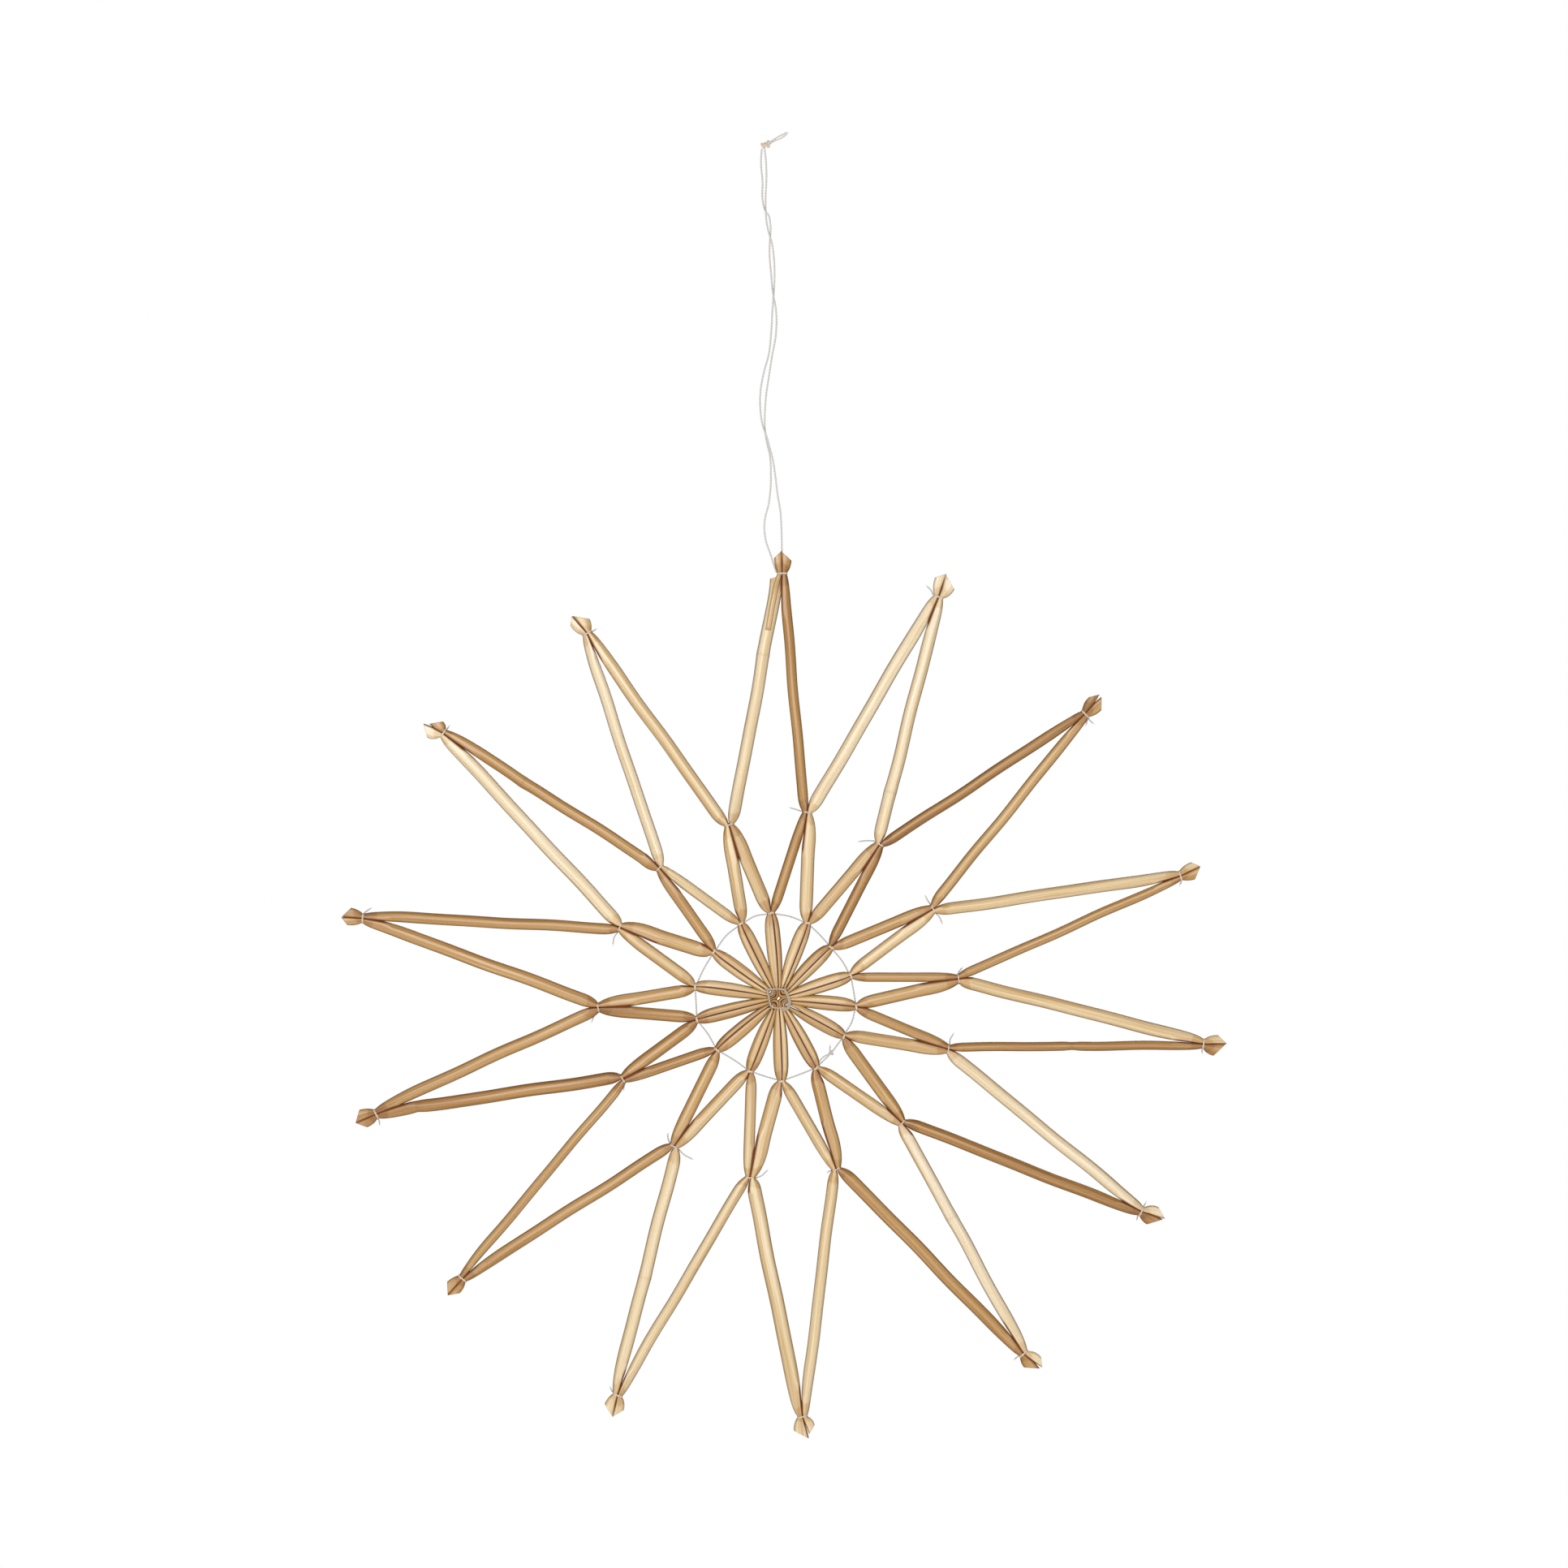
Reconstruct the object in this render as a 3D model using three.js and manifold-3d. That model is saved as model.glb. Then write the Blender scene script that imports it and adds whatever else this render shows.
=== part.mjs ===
// Straw star ornament: fourteen whole straws, bent round a thread binding at the centre, so that
// twenty-eight arms leave it in fourteen petals. Threads tie the arms side by side at three radii.
// Millimetres, +Z up, front face towards -Y. The origin is the top of the hanging loop, under its knot.
import * as THREE from "three";
import { mergeVertices } from "three/addons/utils/BufferGeometryUtils.js";
import Module from "manifold-3d";

// Star: where its centre hangs, and the ties, as degrees clockwise from straight up and as radii
const STAR_DROP = 387.8;
const STAR_ASIDE = 7.3;
const TIP_RADIUS = 193;
const MID_RADIUS = 81.8;
const INNER_RADIUS = 36.5;
const TIP_ANGLES = [0.4, 21.6, 47, 72.9, 96, 120.35, 145.4, 176.8, 202.2, 228.6, 254.1, 281, 308.35, 332.3];
const TIP_SHIFTS = [1.1, 4.2, -2.4, -1.7, 1.4, -1.7, 3.1, -2.6, 1.8, -0.6, -2.1, 0.3, 2.2, -4.7];
const MID_ANGLES = [8.5, 33, 59.6, 83.5, 106.4, 135.2, 161.4, 189.3, 215.6, 243, 267.4, 294.3, 317.7, 344];
const MID_SHIFTS = [4.4, 2.4, -0.4, 0.5, -1.4, -2.3, 0, 0.5, 0.6, -1.8, 0.8, -2.1, -0.8, 0.9];
const INNER_ANGLES = [
  -5.3, 20.4, 45, 71.8, 95.6, 119.7, 151.6, 178.4, 202.1, 230.8, 256.1, 278.3, 306.1, 333.3,
];
const INNER_SHIFTS = [3, 0.6, -3, -2.1, -1.2, -2.5, -0.9, 0.8, -1.1, 0, 2.1, 2.2, 0.3, 2.2];
const PETALS = TIP_ANGLES.length;

// Straws: widths across the star's plane and depths along Y
const LEFT_WIDTHS = [5.9, 5.9, 4.6, 5.8, 5.8, 5.6, 5.6, 5.2, 4.8, 4.4, 5, 5, 5.3, 4.7];
const RIGHT_WIDTHS = [4.1, 5.2, 4.4, 4.1, 4.1, 5, 5, 6.2, 5.9, 4, 5.1, 4.7, 4.3, 5.2];
const ARM_DEPTH = 4.4;
const PETAL_WIDTH = 3.4;
const PETAL_DEPTH = 4.6;
const CORE_WIDTH = 0.9;
const CORE_DEPTH = 5;
const NECK_DEPTH = 3.6;
const TIP_NECK = 1.3;
const MID_NECK = 1.25;
const INNER_NECK = 0.85;
const PAIR_GAP = 0.3;
const CORE_GAP = 0.14;

// Spear-shaped tips: length past the tie, how far the cut leans sideways, and width over both straws
const TIP_LENGTHS = [10, 10.7, 10.7, 10, 10.5, 10.7, 10, 9.8, 9.8, 9.8, 10, 9.3, 9.4, 9.6];
const TIP_LEANS = [0.3, 0, -0.8, -0.6, -0.6, -1.1, -1.8, -2.5, -1.8, -1.5, -1.3, -1.1, -1.1, -1.9];
const TIP_WIDTHS = [7.8, 9.6, 8.1, 8, 9.1, 9.1, 8.9, 9.1, 8.7, 7.4, 8.1, 7.8, 10, 9.1];
const TIP_DEPTH = 1.6;
const TIP_CUT = 0.8;
const TIP_SHOULDER = 0.55;

// Spliced-in straw strip at the first tip, in front of the straw whose end stops short of the tie
const SPLICE_LENGTH = 26;
const SPLICE_WIDTH = 2.2;
const SPLICE_DEPTH = 0.9;
const SPLICE_CLEARANCE = 0.35;
const SPLICE_CROSSING = 10.5;
const SHORT_END = 3;
const SHORT_END_WIDTH = 2.6;

// Threads
const THREAD = 0.85;
const TIE_CLEARANCE = 0.24;
const CORE_TURN = 36;
const SPAN_THREAD = 0.7;
const SPAN_BOW = 0.4;
const RING_KNOT = [1.9, 1.9, 1.9];
const RING_KNOT_SPAN = 5;
const CORE_KNOT = [2.3, 0.85, 1.5];
const CORE_KNOT_PLACE = 0.35;

// Hanging loop: its knot is an entry turn over the two strands and a larger turn beside it
const LOOP_THREAD = 0.9;
const KNOT_ENTRY = { size: [2.6, 2.6, 2.2], at: [0.1, 0, 1.25] };
const KNOT_TURN = { size: [4, 2.8, 2.8], at: [1.9, 0, 2] };
const TAIL_RISE = 25;
const TAIL_LENGTH = 9;
const TAIL_SPREAD = 4;
const TAIL_GAP = 0.35;

const STRAW_SIDES = 6;
const CORD_SIDES = 8;
const STRAND_STEPS = 32;
const TIE_SIDES = 4;
const BINDING_SIDES = 6;
const TIE_STEPS = 8;
const LUMP_SEGMENTS = [8, 5];
const NEARLY_UPRIGHT = 0.9;
const LEFT = -1;
const RIGHT = 1;

// Strands of the hanging loop from the star up to the knot: across, back, and down from the origin
const LEFT_STRAND = [
  [5.9, 2.4, -192.9], [4.9, 1.8, -190], [3.7, 1.5, -186], [1.2, 1.1, -178.6], [0.5, 0.9, -172],
  [0.8, 0.6, -169], [2.5, 0.5, -162], [3.4, 0.6, -154.3], [3.5, 0.7, -148], [3.2, 0.75, -141],
  [1.6, 0.75, -133.6], [0.8, 0.7, -128], [0.8, 0.4, -120], [1.3, 0, -113], [2.6, -0.3, -104],
  [4, -0.5, -95], [5.7, -0.6, -85.5], [6.1, -0.7, -79], [5.6, -0.75, -71.8], [4.6, -0.75, -67],
  [3.6, -0.5, -57], [2.9, 0.2, -48], [3.1, 0.7, -41.2], [3.4, 0.5, -37], [3.2, 0, -34],
  [2.4, -0.6, -30.4], [1.1, -0.75, -28.8], [-0.2, -0.5, -24], [-0.3, 0, -15], [-1, 0, -6], [-0.62, 0, -0.1],
];
const RIGHT_STRAND = [
  [8.3, 2.4, -192.9], [8.5, 1.7, -189], [8.55, 1.5, -184], [8.5, 0.9, -180], [8.3, 0.4, -173],
  [7.9, 0, -166], [6.6, -0.3, -158], [5.6, -0.5, -150], [4.3, -0.65, -141.5], [3, -0.75, -136.5],
  [1.7, -0.75, -131.8], [0, -0.6, -127], [-1.3, -0.3, -119], [-1.2, 0, -110.5], [0.2, 0.3, -102.5],
  [2.6, 0.5, -93.5], [3.7, 0.6, -83], [4.2, 0.7, -74], [4.7, 0.75, -67.5], [5.2, 0.5, -57],
  [4.7, 0, -48], [3.8, -0.7, -42.5], [2.7, -0.6, -39], [1.8, 0, -35], [1.3, 0.65, -31],
  [1.15, 0.75, -28.5], [1.1, 0.5, -22], [1.5, 0, -13], [1.2, 0, -5], [0.62, 0, -0.1],
];

const wasm = await Module();
wasm.setup();

const STRAW_COLOURS = { pale: "#e2cda4", tan: "#cba873", brown: "#b98c55" };
const STRAW_TONES = [
  "tan", "pale", "brown", "tan", "brown", "pale", "brown",
  "tan", "brown", "tan", "pale", "brown", "tan", "pale",
];
const strawOf = (tone) =>
  new THREE.MeshStandardMaterial({ color: STRAW_COLOURS[tone], roughness: 0.45, metalness: 0 });
const threadWhite = new THREE.MeshStandardMaterial({ color: "#dedbd2", roughness: 0.9, metalness: 0 });

const radians = THREE.MathUtils.degToRad;
const inSpace = (p, back = 0) => new THREE.Vector3(p.x, back, p.y);

// The direction at an angle clockwise from up, and the direction a quarter turn clockwise of one.
const rayAt = (angle) => new THREE.Vector2(Math.sin(radians(angle)), Math.cos(radians(angle)));
const clockwiseOf = (ray) => new THREE.Vector2(ray.y, -ray.x);

// A closed solid through rings of equal point counts; joined end to end when closed, capped otherwise.
function loft(rings, closed = false) {
  const sides = rings[0].length;
  const points = rings.flat();
  const faces = [];
  const spans = closed ? rings.length : rings.length - 1;
  for (let i = 0; i < spans; i++) {
    const next = (i + 1) % rings.length;
    for (let k = 0; k < sides; k++) {
      const [a, b] = [i * sides + k, i * sides + ((k + 1) % sides)];
      const [c, d] = [next * sides + k, next * sides + ((k + 1) % sides)];
      faces.push(a, b, d, a, d, c);
    }
  }
  const last = (rings.length - 1) * sides;
  for (let k = 1; !closed && k < sides - 1; k++) {
    faces.push(0, k + 1, k, last, last + k, last + k + 1);
  }
  return new THREE.BufferGeometry().setFromPoints(points).setIndex(faces);
}

// A ring across the path: the section's width lies in the star's plane and its depth along Y.
function strawRing({ at, width, depth, back = 0 }, along) {
  const across = clockwiseOf(along);
  return Array.from({ length: STRAW_SIDES }, (_, k) => {
    const turn = ((k + 0.5) * 2 * Math.PI) / STRAW_SIDES;
    const reach = (width / 2 / Math.cos(Math.PI / STRAW_SIDES)) * Math.cos(turn);
    return inSpace(at.clone().addScaledVector(across, reach), back + (depth / 2) * Math.sin(turn));
  });
}

// Rings square to the way from each station's neighbour before to the one after.
function strawRings(stations) {
  return stations.map((station, i) => {
    const before = stations[Math.max(i - 1, 0)].at;
    const after = stations[Math.min(i + 1, stations.length - 1)].at;
    return strawRing(station, after.clone().sub(before).normalize());
  });
}

// A place where two straws lie side by side under a thread.
function tieAt(angle, radius, neck) {
  const axis = rayAt(angle);
  return { axis, across: clockwiseOf(axis), centre: axis.clone().multiplyScalar(radius), neck };
}
const tips = TIP_ANGLES.map((angle, i) => tieAt(angle, TIP_RADIUS + TIP_SHIFTS[i], TIP_NECK));
const mids = MID_ANGLES.map((angle, i) => tieAt(angle, MID_RADIUS + MID_SHIFTS[i], MID_NECK));
const inners = INNER_ANGLES.map((angle, i) => tieAt(angle, INNER_RADIUS + INNER_SHIFTS[i], INNER_NECK));

const inTie = (tie, side) => ({
  at: tie.centre.clone().addScaledVector(tie.across, (side * (tie.neck + PAIR_GAP)) / 2),
  width: tie.neck,
  depth: NECK_DEPTH,
});

// Moves a point sideways until a straw of that width clears its pair's centre line.
function clearOf(at, width, origin, across, side, gap = PAIR_GAP) {
  const reach = side * at.clone().sub(origin).dot(across);
  return at.clone().addScaledVector(across, side * Math.max(0, (width + gap) / 2 - reach));
}

// Stations on the straight way from a tie to another, each a distance and a share of full size.
function grownFrom(tie, side, other, width, places) {
  const length = tie.centre.distanceTo(other.centre);
  return places.map(([distance, share]) => {
    const wide = tie.neck + (width - tie.neck) * share;
    const at = tie.centre.clone().lerp(other.centre, distance / length);
    const depth = NECK_DEPTH + (ARM_DEPTH - NECK_DEPTH) * share;
    return { at: clearOf(at, wide, tie.centre, tie.across, side), width: wide, depth };
  });
}

// An arm is one half of a straw: arms 2i and 2i + 1 are the left and right straw of petal i.
const arms = Array.from({ length: 2 * PETALS }, (_, k) => {
  const petal = k >> 1;
  const side = k % 2 ? RIGHT : LEFT;
  const mid = side === RIGHT ? mids[petal] : mids[(petal + PETALS - 1) % PETALS];
  const width = side === RIGHT ? RIGHT_WIDTHS[petal] : LEFT_WIDTHS[petal];
  return { petal, side, width, tip: tips[petal], mid, inner: inners[petal] };
});

// Binding posts: corners of a square whose sides each pass a quarter of the arms.
const QUARTER = arms.length / 4;
const corePitch = CORE_WIDTH + CORE_GAP;
const firstTurn = THREAD / 2 + CORE_GAP + CORE_WIDTH / 2;
const postSpacing = 2 * firstTurn + (QUARTER - 1) * corePitch;
const postRadius = postSpacing / Math.SQRT2;
const posts = [0, 1, 2, 3].map((quarter) => ({
  at: rayAt(CORE_TURN + 90 * quarter).multiplyScalar(postRadius),
  firstArm: Math.floor(QUARTER / 2) + quarter * QUARTER,
  turns: Math.floor(QUARTER / 2) + (quarter % 2),
}));

// Where an arm leaves the circle round its post, on the straight line to its inner tie.
function leavePost(arm, post, turn) {
  const target = inTie(arm.inner, arm.side).at;
  const direct = target.clone().sub(post.at);
  const lean = arm.ofPost * Math.asin(turn / direct.length());
  const along = direct.clone().normalize().rotateAround(new THREE.Vector2(), lean);
  arm.start = post.at.clone().addScaledVector(clockwiseOf(along), arm.ofPost * turn);
}

// Straws as pairs of arms nested round the posts, tightest first.
const straws = posts.flatMap((post) =>
  Array.from({ length: post.turns }, (_, j) => {
    const before = arms[(post.firstArm - j + arms.length) % arms.length];
    const after = arms[(post.firstArm + 1 + j) % arms.length];
    const turn = firstTurn + j * corePitch;
    before.ofPost = LEFT;
    after.ofPost = RIGHT;
    leavePost(before, post, turn);
    leavePost(after, post, turn);
    return { before, after, post, turn };
  }),
);

// One straw of a petal, from the binding out to the inner tie, as shares of its way and its growth.
const PETAL_PROFILE = [[0, 0], [0.14, 0.2], [0.36, 0.6], [0.62, 0.9], [0.84, 1]];
function petalRun(arm) {
  const pair = arms[2 * arm.petal + (arm.side === RIGHT ? 0 : 1)];
  const root = arm.start.clone().add(pair.start).multiplyScalar(0.5);
  const across = clockwiseOf(arm.inner.centre.clone().sub(root).normalize());
  const end = inTie(arm.inner, arm.side).at;
  return PETAL_PROFILE.map(([along, full]) => {
    const width = CORE_WIDTH + (PETAL_WIDTH - CORE_WIDTH) * full;
    const depth = CORE_DEPTH + (PETAL_DEPTH - CORE_DEPTH) * full;
    const at = arm.start.clone().lerp(end, along);
    const gap = CORE_GAP + (PAIR_GAP - CORE_GAP) * full;
    return { at: clearOf(at, width, root, across, arm.side, gap), width, depth };
  });
}

// Arc round the post, on its side that faces the star's centre, without its two end points.
function turnRun({ before, after, post, turn }) {
  const angleOf = (arm) => arm.start.clone().sub(post.at).angle();
  const first = angleOf(before);
  const sweep = THREE.MathUtils.euclideanModulo(angleOf(after) - first, 2 * Math.PI);
  const inside = turn > 2 * firstTurn ? 3 : 2;
  return Array.from({ length: inside }, (_, k) => {
    const angle = first + (sweep * (k + 1)) / (inside + 1);
    const at = new THREE.Vector2(Math.cos(angle), Math.sin(angle)).multiplyScalar(turn).add(post.at);
    return { at, width: CORE_WIDTH, depth: CORE_DEPTH };
  });
}

// Tip past its tie: the shoulder, then the leaning cut, in the tie's own axes turned by the lean.
function tipFrame(petal) {
  const { centre, axis, across } = tips[petal];
  const length = TIP_LENGTHS[petal];
  const apex = centre.clone().addScaledVector(axis, length).addScaledVector(across, TIP_LEANS[petal]);
  const along = apex.sub(centre).normalize();
  return { centre, along, across: clockwiseOf(along), length };
}
function tipRings(petal, side) {
  const { centre, along, across, length } = tipFrame(petal);
  const width = (TIP_WIDTHS[petal] - PAIR_GAP) / 2;
  const place = (forward, sideways) =>
    centre.clone().addScaledVector(along, forward).addScaledVector(across, side * sideways);
  const middle = (width + PAIR_GAP) / 2;
  const shoulder = { at: place(TIP_SHOULDER * length, middle), width, depth: TIP_DEPTH };
  const end = strawRing({ at: place(length, middle), width, depth: TIP_DEPTH }, along);
  for (const corner of end) {
    const sideways = new THREE.Vector2(corner.x, corner.z).sub(centre).dot(across) * side;
    const { x, y } = along.clone().multiplyScalar(-TIP_CUT * sideways);
    corner.add(new THREE.Vector3(x, 0, y));
  }
  return [strawRing(shoulder, along), end];
}

// Stations from the tip tie inwards to the binding. The straws lie on the other side of a mid tie's
// axis than of their own petal's, because they only touch there and turn back.
const PAST_TIP = [[4, 0.5], [SPLICE_CROSSING, 1]];
const BEFORE_MID = [[7.5, 1]];
const ROUND_BEND = [[6, 0.9]];
function armRun(arm) {
  const { tip, mid, inner, side, width } = arm;
  return [
    inTie(tip, side),
    ...grownFrom(tip, side, mid, width, PAST_TIP),
    ...grownFrom(mid, -side, tip, width, BEFORE_MID),
    inTie(mid, -side),
    ...grownFrom(mid, -side, inner, width, ROUND_BEND),
    ...grownFrom(inner, side, mid, width, ROUND_BEND),
    inTie(inner, side),
    ...petalRun(arm).reverse(),
  ];
}

// The point at a distance inwards from an arm's tip tie, clear of the other straw there.
function pastTip(arm, distance, width) {
  const at = arm.tip.centre.clone();
  at.addScaledVector(arm.mid.centre.clone().sub(at).normalize(), distance);
  return clearOf(at, width, arm.tip.centre, arm.tip.across, arm.side);
}

// The short straw at the first tip starts past the tie, flat and behind the spliced strip.
function shortened(run, arm) {
  const behind = { depth: TIP_DEPTH, back: (TIP_DEPTH + PAIR_GAP) / 2 };
  const cut = { at: pastTip(arm, SHORT_END, SHORT_END_WIDTH), width: SHORT_END_WIDTH, ...behind };
  return [cut, { ...run[1], ...behind }, ...run.slice(2)];
}

// Rings made looking outwards, turned round to the order and direction of ones made looking inwards.
const inwards = (rings) =>
  rings.map((ring) => ring.map((_, k) => ring[(STRAW_SIDES * 1.5 - 1 - k) % STRAW_SIDES])).reverse();

function wholeStraw(straw) {
  const isShort = (arm) => arm.petal === 0 && arm.side === LEFT;
  const [start, end] = [straw.before, straw.after].map((arm) => ({
    run: isShort(arm) ? shortened(armRun(arm), arm) : armRun(arm),
    tip: isShort(arm) ? [] : tipRings(arm.petal, arm.side),
  }));
  return loft([
    ...inwards(start.tip),
    ...strawRings([...start.run, ...turnRun(straw), ...end.run.reverse()]),
    ...end.tip,
  ]);
}

// The splice fills the left half of the first tip and lies on the front of the short straw below it.
function spliceStraw() {
  const arm = arms[0];
  const front = -(ARM_DEPTH / 2 + SPLICE_CLEARANCE + SPLICE_DEPTH / 2);
  const besideShortEnd = -(SPLICE_DEPTH + PAIR_GAP) / 2;
  const stripAt = (distance, back) => ({
    at: pastTip(arm, distance, SPLICE_WIDTH), width: SPLICE_WIDTH, depth: SPLICE_DEPTH, back,
  });
  const strip = [
    inTie(arm.tip, LEFT),
    stripAt(SHORT_END, besideShortEnd),
    stripAt(SPLICE_CROSSING, front),
    stripAt(SPLICE_LENGTH, front),
  ];
  return loft([...inwards(tipRings(0, LEFT)), ...strawRings(strip)]);
}

// A thread along points, closed on itself or capped, its section turned by the way it runs.
function thread(points, diameter, closed = false, sides = TIE_SIDES) {
  const count = points.length;
  const rings = points.map((point, i) => {
    const before = closed ? points[(i + count - 1) % count] : points[Math.max(i - 1, 0)];
    const after = closed ? points[(i + 1) % count] : points[Math.min(i + 1, count - 1)];
    const along = after.clone().sub(before).normalize();
    const helper = new THREE.Vector3(...(Math.abs(along.z) > NEARLY_UPRIGHT ? [0, 1, 0] : [0, 0, 1]));
    const across = helper.cross(along).normalize();
    const up = along.clone().cross(across);
    return Array.from({ length: sides }, (_, k) => {
      const turn = ((k + 0.5) * 2 * Math.PI) / sides;
      return point
        .clone()
        .addScaledVector(across, (diameter / 2) * Math.cos(turn))
        .addScaledVector(up, (diameter / 2) * Math.sin(turn));
    });
  });
  return loft(rings, closed);
}

// How far from a tie's axis its thread's centre line passes, on either side of the pair.
const tieReach = (tie) => tie.neck + PAIR_GAP / 2 + TIE_CLEARANCE + THREAD / 2;

// A turn of thread round a pair of straws, standing square to the tie's axis.
function tieRing(tie) {
  const reach = tieReach(tie);
  const deep = NECK_DEPTH / 2 + TIE_CLEARANCE + THREAD / 2;
  const rings = Array.from({ length: TIE_STEPS }, (_, i) => {
    const turn = ((i + 0.5) * 2 * Math.PI) / TIE_STEPS;
    const out = new THREE.Vector2(Math.cos(turn), Math.sin(turn));
    const spread = 1 / Math.cos(Math.PI / TIE_STEPS);
    return Array.from({ length: TIE_SIDES }, (_, k) => {
      const around = ((k + 0.5) * 2 * Math.PI) / TIE_SIDES;
      const wide = (THREAD / 2) * Math.cos(around);
      const forward = -(THREAD / 2) * Math.sin(around);
      const sideways = (reach * spread + wide) * out.x;
      const at = tie.centre.clone().addScaledVector(tie.across, sideways).addScaledVector(tie.axis, forward);
      return inSpace(at, (deep * spread + wide) * out.y);
    });
  });
  return loft(rings, true);
}

// A closed geometry as a solid for joining, and a solid as a geometry again.
function solid(geometry) {
  const merged = mergeVertices(geometry.deleteAttribute("normal").deleteAttribute("uv"), 1e-4);
  return new wasm.Manifold(
    new wasm.Mesh({
      numProp: 3,
      vertProperties: new Float32Array(merged.attributes.position.array),
      triVerts: new Uint32Array(merged.index.array),
    }),
  );
}
function geometryOf(body) {
  const { vertProperties, triVerts } = body.getMesh();
  return new THREE.BufferGeometry()
    .setAttribute("position", new THREE.BufferAttribute(vertProperties, 3))
    .setIndex(new THREE.BufferAttribute(triVerts, 1));
}
const joined = (geometries) => geometryOf(geometries.map(solid).reduce((all, next) => all.add(next)));

const lump = (size, at) => new THREE.SphereGeometry(0.5, ...LUMP_SEGMENTS).scale(...size).translate(...at);

// One thread turns round every inner neck and spans to the next; its knot lies on one of the spans.
function innerRing() {
  const pieces = inners.map(tieRing);
  inners.forEach((tie, i) => {
    const next = inners[(i + 1) % PETALS];
    const from = tie.centre.clone().addScaledVector(tie.across, tieReach(tie));
    const to = next.centre.clone().addScaledVector(next.across, -tieReach(next));
    const bow = from.clone().add(to).multiplyScalar(0.5);
    bow.multiplyScalar(1 + SPAN_BOW / bow.length());
    pieces.push(thread([from, bow, to].map((p) => inSpace(p)), SPAN_THREAD));
    if (i === RING_KNOT_SPAN) pieces.push(lump(RING_KNOT, inSpace(bow)));
  });
  return joined(pieces);
}

// Thread square on the front and on the back of the crossing straws, with a post at each corner.
function centreBinding() {
  const face = CORE_DEPTH / 2 + TIE_CLEARANCE + THREAD / 2;
  const square = (back) => thread(posts.map((post) => inSpace(post.at, back)), THREAD, true, BINDING_SIDES);
  const uprights = posts.map(({ at }) =>
    new THREE.CylinderGeometry(THREAD / 2, THREAD / 2, 2 * face, CORD_SIDES).translate(at.x, 0, at.y),
  );
  const knotAt = posts[1].at.clone().lerp(posts[2].at, CORE_KNOT_PLACE);
  return joined([square(-face), square(face), ...uprights, lump(CORE_KNOT, inSpace(knotAt, -face))]);
}

function strand(points) {
  const curve = new THREE.CatmullRomCurve3(points.map((p) => new THREE.Vector3(...p)), false, "centripetal");
  return thread(curve.getSpacedPoints(STRAND_STEPS), LOOP_THREAD, false, CORD_SIDES);
}

// Overhand knot on top of the two strands, with the thread's two tails leaving it to the right.
function loopKnot() {
  const start = new THREE.Vector2(KNOT_TURN.at[0], KNOT_TURN.at[2]);
  const tail = (rise, back) => {
    const end = start.clone().addScaledVector(rayAt(90 - rise), TAIL_LENGTH);
    return thread([inSpace(start, back), inSpace(end, back)], LOOP_THREAD, false, BINDING_SIDES);
  };
  return joined([
    lump(KNOT_ENTRY.size, KNOT_ENTRY.at),
    lump(KNOT_TURN.size, KNOT_TURN.at),
    tail(TAIL_RISE + TAIL_SPREAD, TAIL_GAP),
    tail(TAIL_RISE - TAIL_SPREAD, -TAIL_GAP),
  ]);
}

const ornament = new THREE.Group();
const star = new THREE.Group();
star.position.set(STAR_ASIDE, 0, -STAR_DROP);
ornament.add(star);

function place(parent, name, geometry, material) {
  const mesh = new THREE.Mesh(geometry, material);
  mesh.name = name;
  parent.add(mesh);
}
const numbered = (name, i) => `${name}_${String(i + 1).padStart(2, "0")}`;

straws.forEach((straw, i) => place(star, numbered("straw", i), wholeStraw(straw), strawOf(STRAW_TONES[i])));
place(star, "splice_straw", spliceStraw(), strawOf("brown"));
tips.forEach((tie, i) => place(star, numbered("tip_tie", i), tieRing(tie), threadWhite));
mids.forEach((tie, i) => place(star, numbered("mid_tie", i), tieRing(tie), threadWhite));
place(star, "inner_ring_thread", innerRing(), threadWhite);
place(star, "centre_binding", centreBinding(), threadWhite);
place(ornament, "hanging_thread_left", strand(LEFT_STRAND), threadWhite);
place(ornament, "hanging_thread_right", strand(RIGHT_STRAND), threadWhite);
place(ornament, "loop_knot", loopKnot(), threadWhite);

export default ornament;
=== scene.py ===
"""Straw star ornament: fourteen straws tied with thread into fourteen petals, on a hanging loop.

The tables are in millimetres and MM turns them into metres. The star lies in the X-Z plane with its
front towards -Y, and the origin is the top of the hanging loop, under its knot.
"""

import math
from collections import namedtuple

import bpy
import numpy as np
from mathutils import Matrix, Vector


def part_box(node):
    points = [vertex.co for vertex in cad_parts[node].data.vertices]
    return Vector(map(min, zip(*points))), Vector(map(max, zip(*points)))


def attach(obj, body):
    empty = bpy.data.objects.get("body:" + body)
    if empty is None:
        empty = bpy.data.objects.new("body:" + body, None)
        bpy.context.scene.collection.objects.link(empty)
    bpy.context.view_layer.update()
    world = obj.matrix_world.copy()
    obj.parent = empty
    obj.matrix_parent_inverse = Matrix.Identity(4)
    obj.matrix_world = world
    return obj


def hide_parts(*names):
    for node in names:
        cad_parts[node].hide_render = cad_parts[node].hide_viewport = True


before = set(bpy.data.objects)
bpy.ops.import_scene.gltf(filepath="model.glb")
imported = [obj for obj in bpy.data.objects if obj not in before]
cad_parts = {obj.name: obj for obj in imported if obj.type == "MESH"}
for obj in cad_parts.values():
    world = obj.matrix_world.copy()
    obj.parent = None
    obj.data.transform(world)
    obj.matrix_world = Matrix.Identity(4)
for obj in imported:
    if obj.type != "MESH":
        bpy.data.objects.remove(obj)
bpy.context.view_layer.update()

MM = 0.001
PETALS = 14
LEFT, RIGHT = -1, 1

# Picture: how wide it is at the star, the point at its middle, and the lens
PICTURE_WIDTH = 714.8
PICTURE_MIDDLE = (9.5, -289.7)
LENS = 100
SENSOR = 36

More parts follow.
